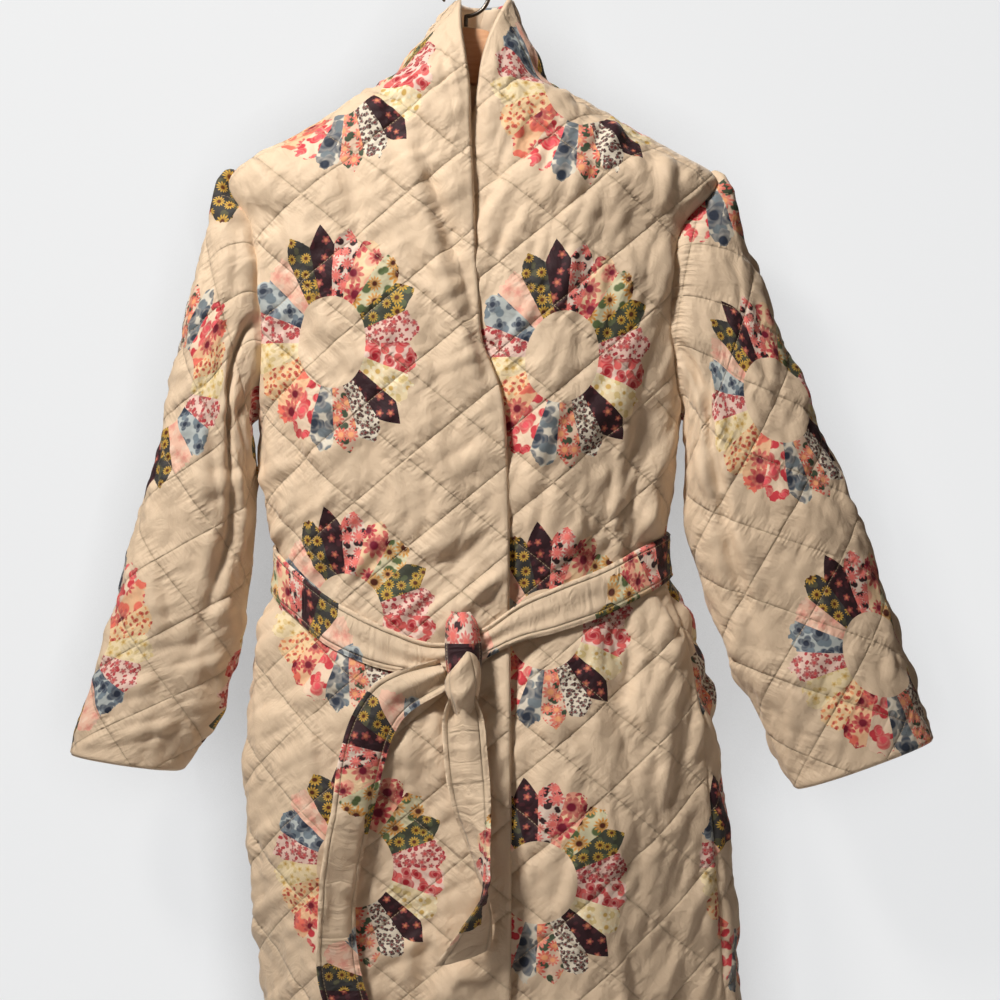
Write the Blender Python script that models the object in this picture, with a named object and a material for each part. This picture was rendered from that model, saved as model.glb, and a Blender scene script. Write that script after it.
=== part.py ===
"""A quilted wrap coat with a tie belt, hanging on a wooden hanger.

The coat is cut as it is sewn: two fronts with grown-on shawl collar halves that meet at the
centre back, one back, two set-in sleeves and a long tie belt. Every cloth piece is a quilted
wall worked out from a stack of rings round the body or along the sleeve.
The tables are in millimetres. X runs to the wearer's left, -Y is the front, +Z is up, and the
origin is the inside top of the hanger's hook.
"""

import math
from collections import namedtuple

import bmesh
import bpy
import numpy as np

MM = 0.001

# Driving sizes
WALL = 5.0
SEAM_GAP = 0.4
HEM_Z = -1178.0
UNDERARM_Z = -426.0
SHOULDER_Z = -190.0
NECK_Z = -105.0
COLLAR_TOP_Z = -28.0
ARMHOLE_FRONT_DEG = 22.0
ARMHOLE_BACK_DEG = 18.0
LAP_DEPTH = 9.0
LAP_RUN = 50.0
BELT_HALF_HEIGHT = 21.0
BELT_WALL = 4.0
BELT_CLEAR = 2.4
BELT_DENT = 6.0
BELT_DENT_HEIGHT = 34.0

# Heights of the rows of facets from the hem up to the armhole, closer at the waist
SKIRT_LEVELS = [
    HEM_Z, -1090, -1000, -910, -830, -760, -705, -665, -635, -605,
    -578, -552, -526, -490, -456, UNDERARM_Z,
]

# Numbers of rows and columns of facets
SKIRT_ROWS = len(SKIRT_LEVELS) - 1
ARMHOLE_ROWS = 9
SHOULDER_ROWS = 5
COLLAR_ROWS = 4
FRONT_COLUMNS = 13
BACK_COLUMNS = 18
COLLAR_COLUMNS = 5
SLEEVE_ROWS = 12
BELT_COLUMNS = 44
TAIL_ROWS = 14

# Rings of the body: how far each reaches to the sides, the front and the back
Section = namedtuple("Section", "z left right front back power")
BODY = [
    Section(-1178, -182, 268, -106, 88, 2.3),
    Section(-977, -188, 262, -103, 84, 2.3),
    Section(-882, -199, 257, -101, 80, 2.3),
    Section(-800, -207, 248, -99, 77, 2.3),
    Section(-740, -209, 239, -96, 73, 2.3),
    Section(-692, -204, 227, -91, 68, 2.3),
    Section(-635, -195, 213, -84, 62, 2.35),
    Section(-600, -187, 202, -79, 58, 2.35),
    Section(-560, -182, 194, -75, 57, 2.4),
    Section(-502, -190, 196, -76, 60, 2.4),
    Section(-426, -196, 203, -77, 60, 2.45),
    Section(-312, -206, 206, -71, 56, 2.5),
    Section(-245, -211, 213, -66, 53, 2.5),
    Section(-190, -219, 232, -60, 50, 2.35),
    Section(-175, -197, 206, -56, 48, 2.05),
    Section(-150, -152, 158, -54, 46, 2.0),
    Section(-125, -108, 112, -52, 45, 2.0),
    Section(-105, -75, 76, -49, 46, 2.0),
    Section(-80, -55, 64, -43, 47, 2.0),
    Section(-50, -30, 53, -33, 48, 2.0),
    Section(-28, -10, 45, -24, 48, 2.0),
]

# The free edges of the fronts: the wearer's right front lies over the left one
Edge = namedtuple("Edge", "z over under")
FRONT_EDGES = [
    Edge(-1178, 39, -60),
    Edge(-600, 39, -60),
    Edge(-470, 37, -58),
    Edge(-400, 31, -50),
    Edge(-350, 14, -42),
    Edge(-300, 9, -31),
    Edge(-217, 6, -10),
    Edge(-155, 3, 5),
    Edge(-115, 2, 14),
    Edge(-84, -2, 19),
    Edge(-59, -6, 27),
    Edge(-28, -8, 43),
]

# Where the side seams lie on the rings, in degrees from the centre front
SideSeam = namedtuple("SideSeam", "z right_deg left_deg")
SIDE_SEAMS = [
    SideSeam(-1178, -97, 66),
    SideSeam(-740, -97, 68),
    SideSeam(-600, -94, 76),
    SideSeam(-500, -90, 88),
    SideSeam(UNDERARM_Z, -90, 90),
]

# The largest folds, as ridges (positive depth) and troughs, straight from top to bottom
Fold = namedtuple("Fold", "side x_top z_top x_low z_low width depth")
FOLDS = [
    Fold("front", 150, -590, 157, -770, 20, -8),
    Fold("front", 182, -595, 214, -740, 20, 7),
    Fold("front", 108, -640, 128, -1300, 48, 9),
    Fold("front", 190, -790, 205, -1300, 36, -8),
    Fold("front", -58, -660, -46, -1300, 42, -9),
    Fold("front", -124, -650, -128, -1300, 42, 8),
    Fold("front", -152, -585, -168, -720, 22, -6),
    Fold("front", 132, -420, 128, -585, 17, -6),
    Fold("front", 166, -400, 160, -580, 18, -7),
    Fold("front", -62, -165, 22, -410, 20, -6),
    Fold("front", -166, -270, -160, -570, 20, -6),
    Fold("back", -90, -600, -104, -1300, 44, 10),
    Fold("back", -8, -580, -4, -1300, 46, -9),
    Fold("back", 92, -600, 112, -1300, 44, 9),
    Fold("back", 174, -640, 190, -1300, 34, -7),
    Fold("back", -64, -330, -84, -575, 26, -6),
    Fold("back", 58, -360, 78, -575, 26, -6),
]
FOLD_FADE = 0.25

# Rings of the sleeves: the outer and inner edge seen from the front, and the depth
SleeveRing = namedtuple("SleeveRing", "outer_x outer_z inner_x inner_z half_depth middle_y")
RIGHT_SLEEVE = [
    SleeveRing(-247, -255, -200, -452, 38, -3),
    SleeveRing(-264, -331, -199, -478, 42, -3),
    SleeveRing(-281, -405, -198, -503, 43, -3),
    SleeveRing(-300, -478, -199, -532, 43, -2),
    SleeveRing(-320, -545, -204, -580, 42, -1),
    SleeveRing(-338, -622, -217, -652, 40, 0),
    SleeveRing(-357, -685, -240, -706, 38, 1),
    SleeveRing(-376, -740, -268, -757, 36, 2),
]
LEFT_SLEEVE = [
    SleeveRing(262, -252, 208, -448, 38, -3),
    SleeveRing(290, -325, 207, -475, 42, -3),
    SleeveRing(318, -393, 206, -503, 42, -4),
    SleeveRing(347, -462, 212, -545, 41, -5),
    SleeveRing(376, -530, 229, -597, 40, -6),
    SleeveRing(402, -605, 253, -657, 38, -6),
    SleeveRing(424, -672, 284, -722, 36, -6),
    SleeveRing(443, -726, 311, -774, 34, -6),
]
SLEEVE_POWER = 2.15

# The belt's line round the waist, from one side of the knot back to the other
BeltPoint = namedtuple("BeltPoint", "angle_deg z")
BELT_LINE = [
    BeltPoint(-359.4, -635),
    BeltPoint(-352, -617),
    BeltPoint(-341, -603),
    BeltPoint(-325, -587),
    BeltPoint(-307, -570),
    BeltPoint(-285, -557),
    BeltPoint(-240, -552),
    BeltPoint(-180, -552),
    BeltPoint(-120, -558),
    BeltPoint(-79, -571),
    BeltPoint(-59, -588),
    BeltPoint(-35, -620),
    BeltPoint(-18, -640),
    BeltPoint(-9, -647),
    BeltPoint(-3.5, -646),
]

# The tails of the belt: their middle line over the coat, how far they stand off it, half widths
TailPoint = namedtuple("TailPoint", "x z stand_off half_width turn_deg")
RIGHT_TAIL = [
    TailPoint(-17.5, -660, 12, 14, 8),
    TailPoint(-61, -680, 14, 20, 12),
    TailPoint(-82, -705, 14, 21, 0),
    TailPoint(-97, -740, 14, 21, 0),
    TailPoint(-110, -785, 15, 20, 6),
    TailPoint(-119, -830, 15, 19, 14),
    TailPoint(-124, -880, 15, 18, 20),
    TailPoint(-123, -930, 15, 19, 16),
    TailPoint(-113, -975, 15, 20, 6),
    TailPoint(-100, -1024, 15, 21, 0),
]
LEFT_TAIL = [
    TailPoint(-1, -681, 20, 12, 0),
    TailPoint(-1, -718, 17, 17, -8),
    TailPoint(3, -763, 17, 20, -6),
    TailPoint(7, -806, 18, 21, -10),
    TailPoint(6, -853, 18, 22, -16),
    TailPoint(0, -896, 18, 22, -12),
    TailPoint(-5, -930, 18, 22, -6),
]

# The knot: rings from its top to its bottom
KnotRing = namedtuple("KnotRing", "z x half_width half_depth")
KNOT = [
    KnotRing(-611, -6, 7, 5),
    KnotRing(-617, -6, 14, 9),
    KnotRing(-630, -5, 18, 12),
    KnotRing(-645, -3, 19, 13),
    KnotRing(-660, -2, 18, 12),
    KnotRing(-673, -1, 15, 10),
    KnotRing(-678, -1, 9, 6),
]
KNOT_SIDES = 16
KNOT_STAND_OFF = 19.2

# The hanger: its wooden arms and the hook
HangerRing = namedtuple("HangerRing", "x top bottom half_thick")
HANGER_HALF = [
    HangerRing(0, -52, -107, 7),
    HangerRing(26, -59, -112, 7),
    HangerRing(50, -88, -128, 7),
    HangerRing(76, -115.7, -147, 7),
    HangerRing(112, -136.7, -169, 7),
    HangerRing(150, -158.7, -190, 7),
    HangerRing(180, -176.7, -204, 6.5),
    HangerRing(194, -189, -206, 5),
]
HANGER_SIDES = 12
HOOK_WIRE = 2.0
HOOK_RADIUS = 22.0
HOOK_TURN_DEG = 292.0
HOOK_SEAT = 0.3

Finish = namedtuple("Finish", "colour roughness metallic")
QUILTED_COTTON = Finish((0.66, 0.52, 0.36), 0.75, 0.0)
BELT_COTTON = Finish((0.68, 0.55, 0.39), 0.7, 0.0)
BEECH = Finish((0.50, 0.25, 0.12), 0.45, 0.0)
STEEL = Finish((0.33, 0.31, 0.29), 0.3, 1.0)


def clear_scene():
    for old in list(bpy.data.objects):
        bpy.data.objects.remove(old)


def material_of(name, finish):
    """A Principled material in the piece's own colour."""
    made = bpy.data.materials.new(name)
    made.use_nodes = True
    shader = made.node_tree.nodes["Principled BSDF"]
    shader.inputs["Base Color"].default_value = (*finish.colour, 1.0)
    shader.inputs["Roughness"].default_value = finish.roughness
    shader.inputs["Metallic"].default_value = finish.metallic
    made.diffuse_color = (*finish.colour, 1.0)
    return made


def smooth_columns(rows, at):
    """Every column of a table at the places given, on smooth curves through the rows. The first column is the place."""
    table = np.array(sorted(rows), float)
    place, values = table[:, 0], table[:, 1:]
    slopes = np.gradient(values, place, axis=0)
    at = np.clip(np.asarray(at, float), place[0], place[-1])
    low = np.clip(np.searchsorted(place, at, side="right") - 1, 0, len(place) - 2)
    span = place[low + 1] - place[low]
    t = ((at - place[low]) / span)[..., None]
    span = span[..., None]
    made = (
        (2 * t**3 - 3 * t**2 + 1) * values[low]
        + (t**3 - 2 * t**2 + t) * span * slopes[low]
        + (3 * t**2 - 2 * t**3) * values[low + 1]
        + (t**3 - t**2) * span * slopes[low + 1]
    )
    return np.moveaxis(made, -1, 0)


def ease(t):
    """0 below 0, 1 above 1 and smooth between."""
    t = np.clip(t, 0.0, 1.0)
    return t * t * (3 - 2 * t)


def unit(vectors):
    return vectors / np.linalg.norm(vectors, axis=-1, keepdims=True)


def ring_points(angle, z):
    """Points of the body's rings at angles from the centre front, towards the wearer's left."""
    left, right, front, back, power = smooth_columns(BODY, z)
    middle, half = (left + right) / 2, (right - left) / 2
    across, along = np.sin(angle), np.cos(angle)
    x = middle + half * np.sign(across) * np.abs(across) ** (2 / power)
    y = np.where(along > 0, front, back) * np.abs(along) ** (2 / power)
    return np.stack([x, y, z + 0 * angle], axis=-1)


def ring_normals(angle, z):
    turn, rise = 1e-3, 0.5
    around = ring_points(angle + turn, z) - ring_points(angle - turn, z)
    up = ring_points(angle, z + rise) - ring_points(angle, z - rise)
    return unit(np.cross(around, up))


def ring_angle(x, z):
    """The angle on the front of the ring where it passes x."""
    left, right, _, _, power = smooth_columns(BODY, z)
    share = np.clip((x - (left + right) / 2) / ((right - left) / 2), -1, 1)
    return np.arcsin(np.sign(share) * np.abs(share) ** (power / 2))


def belt_height(angle):
    """The height of the belt's middle line at any angle round the waist."""
    rows = [BeltPoint(math.radians(row.angle_deg), row.z) for row in BELT_LINE]
    turned = np.mod(np.asarray(angle, float) - rows[-1].angle_deg, -2 * math.pi)
    return smooth_columns(rows, turned + rows[-1].angle_deg)[0]


def fold_height(points, angle):
    """How far the folds and the belt's pull lift the cloth off its ring."""
    x, z = points[..., 0], points[..., 2]
    on_front = np.cos(angle) > 0
    lift = -BELT_DENT * np.exp(-(((z - belt_height(angle)) / BELT_DENT_HEIGHT) ** 2))
    for fold in FOLDS:
        along = (z - fold.z_low) / (fold.z_top - fold.z_low)
        across = (x - fold.x_low - (fold.x_top - fold.x_low) * along) / fold.width
        fade = ease(along / FOLD_FADE) * ease((1 - along) / FOLD_FADE)
        here = on_front if fold.side == "front" else ~on_front
        lift = lift + np.where(here, fold.depth * fade * np.exp(-(across**2)), 0.0)
    return lift


def coat_surface(angle, z, lift=0.0):
    """Outer points and normals of the coat, folds included, moved out by lift."""
    base, normals = ring_points(angle, z), ring_normals(angle, z)
    height = fold_height(base, angle) + lift
    return base + normals * height[..., None], normals


def even_angles(start, end, z, count):
    """Angles that part a stretch of one ring into equal lengths."""
    fine = np.linspace(start, end, 240)
    points = ring_points(fine, np.full_like(fine, z))
    steps = np.linalg.norm(np.diff(points, axis=0), axis=1)
    length = np.concatenate([[0.0], np.cumsum(steps)])
    return np.interp(np.linspace(0, length[-1], count), length, fine)


def body_levels():
    """Heights of the rows, hem to collar: even, but as the armhole's own points there."""
    skirt = np.array(SKIRT_LEVELS, float)
    turns = np.linspace(math.pi, 0, ARMHOLE_ROWS + 1)
    middle, half = (UNDERARM_Z + SHOULDER_Z) / 2, (SHOULDER_Z - UNDERARM_Z) / 2
    armhole = middle + half * np.cos(turns)
    shoulder = np.linspace(SHOULDER_Z, NECK_Z, SHOULDER_ROWS + 1)
    collar = np.linspace(NECK_Z, COLLAR_TOP_Z, COLLAR_ROWS + 1)
    return np.concatenate([skirt, armhole[1:], shoulder[1:], collar[1:]])


NECK_ROW = SKIRT_ROWS + ARMHOLE_ROWS + SHOULDER_ROWS
UNDERARM_ROW = SKIRT_ROWS
SHOULDER_ROW = SKIRT_ROWS + ARMHOLE_ROWS


def side_angle(z, wearer_right, inset_deg):
    """The ring angle of a front's or the back's outer edge: side seam, armhole or shoulder seam."""
    right_deg, left_deg = smooth_columns(SIDE_SEAMS, z)
    angle = math.radians(float(right_deg if wearer_right else left_deg))
    if UNDERARM_Z < z < SHOULDER_Z:
        share = (z - UNDERARM_Z) / (SHOULDER_Z - UNDERARM_Z)
        inset = math.radians(inset_deg) * math.sin(math.pi * share) ** 0.6
        angle += inset if wearer_right else -inset
    return angle


def front_angles(wearer_right):
    """Ring angles of a front's grid: collar columns from the centre back, then side to front edge."""
    rows = []
    for z in body_levels():
        over, under = smooth_columns(FRONT_EDGES, z)
        edge = float(ring_angle(over if wearer_right else under, z))
        side = side_angle(z, wearer_right, ARMHOLE_FRONT_DEG)
        centre_back = -math.pi if wearer_right else math.pi
        collar = even_angles(centre_back, side, z, COLLAR_COLUMNS + 1)
        panel = even_angles(side, edge, z, FRONT_COLUMNS + 1)
        rows.append(np.concatenate([collar[:-1], panel]))
    return np.array(rows)


def under_lap(points, angle):
    """How far the under front is pushed in where the over front lies on it."""
    over = smooth_columns(FRONT_EDGES, points[..., 2])[0]
    return -LAP_DEPTH * ease((over + LAP_RUN - points[..., 0]) / LAP_RUN) * ease(2 * np.cos(angle))


def draw_in(outer, inner, rows=(), columns=()):
    """Pulls edge rows and columns back from their seams, each towards the row or column inside it."""
    for grid in (outer, inner):
        for edge, inside in rows:
            grid[edge] += unit(grid[inside] - grid[edge]) * SEAM_GAP / 2
        for edge, inside in columns:
            grid[:, edge] += unit(grid[:, inside] - grid[:, edge]) * SEAM_GAP / 2


def wall_object(name, outer, inner, finish, cells=None, closed=False):
    """A closed wall between two grids of points, over the cells given, open or closed round its columns."""
    row_count, column_count = outer.shape[:2]
    spans = column_count if closed else column_count - 1
    cells = np.ones((row_count - 1, spans), bool) if cells is None else cells
    mesh = bmesh.new()
    corners = {}

    def corner(side, row, column):
        key = (side, row, column % column_count)
        if key not in corners:
            grid = (outer, inner)[side]
            corners[key] = mesh.verts.new(grid[key[1], key[2]] * MM)
        return corners[key]

    edges = {}
    for row, column in zip(*np.nonzero(cells)):
        loop = [(row, column), (row, column + 1), (row + 1, column + 1), (row + 1, column)]
        mesh.faces.new([corner(0, *place) for place in loop])
        mesh.faces.new([corner(1, *place) for place in reversed(loop)])
        for start, end in zip(loop, loop[1:] + loop[:1]):
            start = (start[0], start[1] % column_count)
            end = (end[0], end[1] % column_count)
            if (end, start) in edges:
                del edges[(end, start)]
            else:
                edges[(start, end)] = True
    for start, end in edges:
        mesh.faces.new([corner(0, *end), corner(0, *start), corner(1, *start), corner(1, *end)])
    return finish_object(name, mesh, finish)


def finish_object(name, mesh, finish):
    """Turns a bmesh into a named object with outward faces, smooth shading and its own material."""
    bmesh.ops.recalc_face_normals(mesh, faces=mesh.faces)
    data = bpy.data.meshes.new(name)
    mesh.to_mesh(data)
    mesh.free()
    data.shade_smooth()
    data.set_sharp_from_angle(angle=math.radians(50))
    data.materials.append(material_of(name, finish))
    made = bpy.data.objects.new(name, data)
    bpy.context.scene.collection.objects.link(made)
    return made


def lofted_object(name, rings, finish):
    """A closed solid through rings of points, with flat ends."""
    mesh = bmesh.new()
    loops = [[mesh.verts.new(point * MM) for point in ring] for ring in rings]
    for low, high in zip(loops, loops[1:]):
        for k in range(len(low)):
            nxt = (k + 1) % len(low)
            mesh.faces.new([low[k], low[nxt], high[nxt], high[k]])
    mesh.faces.new(loops[0])
    mesh.faces.new(loops[-1])
    return finish_object(name, mesh, finish)


def armhole_loop(wearer_right):
    """The armhole's points and ring normals: down its front from the shoulder, then up its back."""
    levels = body_levels()[UNDERARM_ROW : SHOULDER_ROW + 1][::-1]
    front = [(side_angle(z, wearer_right, ARMHOLE_FRONT_DEG), z) for z in levels]
    back_inset = -ARMHOLE_BACK_DEG
    back = [(side_angle(z, wearer_right, back_inset), z) for z in levels[::-1]]
    angle, z = np.array(front[:-1] + back[:-1]).T
    return coat_surface(angle, z)


def sleeve_outer(wearer_right):
    """The sleeve's outer grid: rings from the armhole to the cuff, each from its outer edge round the front."""
    loop, _ = armhole_loop(wearer_right)
    turn = np.linspace(0, 2 * math.pi, len(loop), endpoint=False)[:, None]
    reach = np.sign(np.cos(turn)) * np.abs(np.cos(turn)) ** (2 / SLEEVE_POWER)
    depth = np.sign(np.sin(turn)) * np.abs(np.sin(turn)) ** (2 / SLEEVE_POWER)
    rings = [loop]
    for row in RIGHT_SLEEVE if wearer_right else LEFT_SLEEVE:
        outer = np.array([row.outer_x, row.middle_y, row.outer_z])
        inner = np.array([row.inner_x, row.middle_y, row.inner_z])
        forward = np.array([0.0, -row.half_depth, 0.0])
        rings.append((outer + inner) / 2 + reach * (outer - inner) / 2 + depth * forward)
    rings = np.array(rings)
    steps = np.linalg.norm(np.diff(rings, axis=0), axis=2).mean(axis=1)
    length = np.concatenate([[0.0], np.cumsum(steps)])
    at = np.linspace(0, length[-1], SLEEVE_ROWS + 1)
    columns = [
        smooth_columns([(s, *p) for s, p in zip(length, rings[:, k])], at).T
        for k in range(rings.shape[1])
    ]
    return np.stack(columns, axis=1)


def grid_normals(grid):
    """Normals of a tube's grid, pointing out of the tube."""
    around = np.roll(grid, -1, axis=1) - np.roll(grid, 1, axis=1)
    along = np.gradient(grid, axis=0)
    normals = unit(np.cross(around, along))
    outward = grid - grid.mean(axis=1, keepdims=True)
    return normals * np.sign((normals * outward).sum(axis=-1).mean())


def shared_normals(wearer_right):
    """The offset directions of body and sleeve along the armhole, one mitre where the seam is convex."""
    _, body = armhole_loop(wearer_right)
    sleeve = grid_normals(sleeve_outer(wearer_right))[0]
    alike = np.clip((body * sleeve).sum(axis=1, keepdims=True), 0, 1)
    return unit(body + alike * sleeve), unit(sleeve + alike * body)


def mitre_armhole(normals, column, wearer_right, front):
    """Puts the armhole's shared offset directions into a body panel's edge column."""
    mitred, _ = shared_normals(wearer_right)
    half = ARMHOLE_ROWS
    down = mitred[: half + 1] if front else np.roll(mitred[::-1], 1, axis=0)[: half + 1]
    normals[UNDERARM_ROW : SHOULDER_ROW + 1, column] = down[::-1]


def make_front(name, wearer_right):
    """A front with its grown-on collar half, a quilted wall."""
    angle = front_angles(wearer_right)
    z = np.repeat(body_levels()[:, None], angle.shape[1], axis=1)
    lift = 0.0 if wearer_right else under_lap(ring_points(angle, z), angle)
    outer, normals = coat_surface(angle, z, lift)
    mitre_armhole(normals, COLLAR_COLUMNS, wearer_right, front=True)
    inner = outer - normals * WALL
    cells = np.ones((len(z) - 1, angle.shape[1] - 1), bool)
    cells[:NECK_ROW, :COLLAR_COLUMNS] = False
    side = COLLAR_COLUMNS
    for grid in (outer, inner):
        pull = unit(grid[: NECK_ROW + 1, side + 1] - grid[: NECK_ROW + 1, side])
        grid[: NECK_ROW + 1, side] += pull * SEAM_GAP / 2
        grid[NECK_ROW, :side, 2] += SEAM_GAP
        grid[NECK_ROW:, 0] += unit(grid[NECK_ROW:, 1] - grid[NECK_ROW:, 0]) * SEAM_GAP / 2
    return wall_object(name, outer, inner, QUILTED_COTTON, cells)


def make_back(name):
    """The back, from side seam to side seam and up to the neck seam."""
    levels = body_levels()[: NECK_ROW + 1]
    angle = []
    for level in levels:
        start = side_angle(level, False, -ARMHOLE_BACK_DEG)
        end = side_angle(level, True, -ARMHOLE_BACK_DEG) + 2 * math.pi
        angle.append(even_angles(start, end, level, BACK_COLUMNS + 1))
    angle = np.array(angle)
    z = np.repeat(levels[:, None], angle.shape[1], axis=1)
    outer, normals = coat_surface(angle, z)
    mitre_armhole(normals, 0, False, front=False)
    mitre_armhole(normals, -1, True, front=False)
    inner = outer - normals * WALL
    draw_in(outer, inner, rows=[(-1, -2)], columns=[(0, 1), (-1, -2)])
    return wall_object(name, outer, inner, QUILTED_COTTON)


def make_sleeve(name, wearer_right):
    """A set-in sleeve: a quilted tube from the armhole seam to the open cuff."""
    outer = sleeve_outer(wearer_right)
    normals = grid_normals(outer)
    normals[0] = shared_normals(wearer_right)[1]
    inner = outer - normals * WALL
    draw_in(outer, inner, rows=[(0, 1)])
    off_body = armhole_loop(wearer_right)[1] * SEAM_GAP
    outer[0] += off_body
    inner[0] += off_body
    return wall_object(name, outer, inner, QUILTED_COTTON, closed=True)


def make_belt(name):
    """The belt's stretch round the waist, from the knot round the back to the knot again."""
    start, end = (math.radians(BELT_LINE[k].angle_deg) for k in (-1, 0))
    angle = even_angles(start, end, BELT_LINE[len(BELT_LINE) // 2].z, BELT_COLUMNS + 1)
    rows = np.array([-1.0, -0.33, 0.33, 1.0]) * BELT_HALF_HEIGHT
    z = belt_height(angle)[None, :] + rows[:, None]
    angle = np.repeat(angle[None, :], len(rows), axis=0)
    inner, _ = coat_surface(angle, z, BELT_CLEAR)
    outer, _ = coat_surface(angle, z, BELT_CLEAR + BELT_WALL)
    return wall_object(name, outer, inner, BELT_COTTON)


def make_tail(name, rows):
    """A hanging end of the belt: a flat strip in front of the coat, turned as it falls."""
    fall = np.linspace(0, len(rows) - 1, TAIL_ROWS + 1)
    x, z, stand_off, half, turn = smooth_columns(list(enumerate_rows(rows)), fall)
    surface, normals = coat_surface(ring_angle(x, z), z)
    middle = surface + normals * stand_off[:, None]
    along = unit(np.gradient(middle, axis=0))
    flat = unit(np.cross(along, normals))
    turn = np.radians(turn)[:, None]
    across = flat * np.cos(turn) + normals * np.sin(turn)
    face = unit(np.cross(across, along))
    shares = np.array([-1.0, 0.0, 1.0])
    grid = middle[:, None] + across[:, None] * (half[:, None] * shares)[..., None]
    step = face[:, None] * BELT_WALL / 2
    return wall_object(name, grid + step, grid - step, BELT_COTTON)


def enumerate_rows(rows):
    for place, row in enumerate(rows):
        yield (place, *row)


def make_knot(name):
    """The belt's knot: a rounded lump in front of the waist that the belt and its tails meet."""
    turn = np.linspace(0, 2 * math.pi, KNOT_SIDES, endpoint=False)
    rings = []
    for row in KNOT:
        front, _ = coat_surface(ring_angle(row.x, row.z), np.float64(row.z))
        y = front[1] - KNOT_STAND_OFF
        x = row.x + row.half_width * np.cos(turn)
        rings.append(np.stack([x, y + row.half_depth * np.sin(turn), np.full_like(turn, row.z)], axis=1))
    return lofted_object(name, rings, BELT_COTTON)


def hanger_ring(row):
    """One rounded cross-section of the hanger, with a flat along its top."""
    turn = (np.arange(HANGER_SIDES) + 0.5) * 2 * math.pi / HANGER_SIDES
    up = np.sign(np.sin(turn)) * np.abs(np.sin(turn)) ** 0.7 / math.cos(math.pi / HANGER_SIDES) ** 0.7
    out = np.sign(np.cos(turn)) * np.abs(np.cos(turn)) ** 0.7
    z = (row.top + row.bottom) / 2 + up * (row.top - row.bottom) / 2
    return np.stack([np.full_like(turn, row.x), out * row.half_thick, z], axis=1)


def make_hanger(name):
    """The wooden hanger: rounded arms that fall from the neck to both shoulders."""
    mirrored = [row._replace(x=-row.x) for row in HANGER_HALF[:0:-1]]
    rings = [hanger_ring(row) for row in mirrored + HANGER_HALF]
    return lofted_object(name, rings, BEECH)


def make_hook(name):
    """The hanger's steel hook: a straight stem and an open loop over the rail, bent from wire."""
    centre_z = -HOOK_RADIUS + HOOK_WIRE
    stem_foot = HANGER_HALF[0].top + HOOK_SEAT
    turns = np.radians(np.linspace(-90, -90 + HOOK_TURN_DEG, 27))
    loop = [(HOOK_RADIUS * math.cos(t), centre_z + HOOK_RADIUS * math.sin(t)) for t in turns]
    route = [(0.0, stem_foot), (0.0, stem_foot + 5.0), *loop]
    wire = bpy.data.curves.new(name, "CURVE")
    wire.dimensions = "3D"
    wire.bevel_depth = HOOK_WIRE * MM
    wire.bevel_resolution = 2
    wire.use_fill_caps = True
    line = wire.splines.new("POLY")
    line.points.add(len(route) - 1)
    for point, (x, z) in zip(line.points, route):
        point.co = (x * MM, 0.0, z * MM, 1.0)
    wire.materials.append(material_of(name, STEEL))
    made = bpy.data.objects.new(name, wire)
    bpy.context.scene.collection.objects.link(made)
    return made


def main():
    clear_scene()
    make_front("front_right", wearer_right=True)
    make_front("front_left", wearer_right=False)
    make_back("back")
    make_sleeve("sleeve_right", wearer_right=True)
    make_sleeve("sleeve_left", wearer_right=False)
    make_belt("belt_waist")
    make_knot("belt_knot")
    make_tail("belt_tail_right", RIGHT_TAIL)
    make_tail("belt_tail_left", LEFT_TAIL)
    make_hanger("hanger_wood")
    make_hook("hanger_hook")


main()
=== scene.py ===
import math
from collections import namedtuple

import bpy
import numpy as np
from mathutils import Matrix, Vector


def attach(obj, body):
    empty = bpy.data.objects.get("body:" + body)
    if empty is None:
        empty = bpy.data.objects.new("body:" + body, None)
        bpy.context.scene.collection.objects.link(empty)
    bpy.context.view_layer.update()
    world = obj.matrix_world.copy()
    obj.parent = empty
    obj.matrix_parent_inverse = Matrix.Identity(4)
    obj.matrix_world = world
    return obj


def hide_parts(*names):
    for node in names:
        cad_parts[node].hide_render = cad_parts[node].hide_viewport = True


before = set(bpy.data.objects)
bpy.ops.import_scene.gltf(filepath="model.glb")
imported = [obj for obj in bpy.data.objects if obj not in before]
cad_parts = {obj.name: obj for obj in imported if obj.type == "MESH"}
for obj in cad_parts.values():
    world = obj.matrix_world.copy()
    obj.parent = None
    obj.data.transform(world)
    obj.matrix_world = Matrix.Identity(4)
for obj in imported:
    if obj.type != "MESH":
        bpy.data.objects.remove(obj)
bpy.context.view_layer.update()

# The hanger's hook: a length of dark steel wire bent over the rail, its stem let into the wood.
# One tube swept along the wire's line, with a domed tip.

MM = 0.001


def add(tree, kind, inputs=None, **settings):
    """A shader node with its settings, its inputs linked or set to plain values."""
    made = tree.nodes.new(kind)
    for name, value in settings.items():
        setattr(made, name, value)
    for key, value in (inputs or {}).items():
        if isinstance(value, bpy.types.NodeSocket):
            tree.links.new(value, made.inputs[key])
        else:
            made.inputs[key].default_value = value
    return made


def maths(tree, operation, a, b=0.0, c=0.0):
    """The output of one arithmetic node."""
    return add(tree, "ShaderNodeMath", {0: a, 1: b, 2: c}, operation=operation).outputs[0]


def noise(tree, place, scale, detail, dimensions="3D", **more):
    """A noise over a surface, as shares from 0 to 1."""
    inputs = {"Vector": place, "Scale": scale, "Detail": detail, **more}
    return add(tree, "ShaderNodeTexNoise", inputs, noise_dimensions=dimensions).outputs["Fac"]


def ranged(tree, value, low, high, start=0.0, end=1.0):
    """A value brought from one range to another and held at its ends."""
    inputs = {"Value": value, "From Min": low, "From Max": high, "To Min": start, "To Max": end}
    return add(tree, "ShaderNodeMapRange", inputs).outputs[0]


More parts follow.
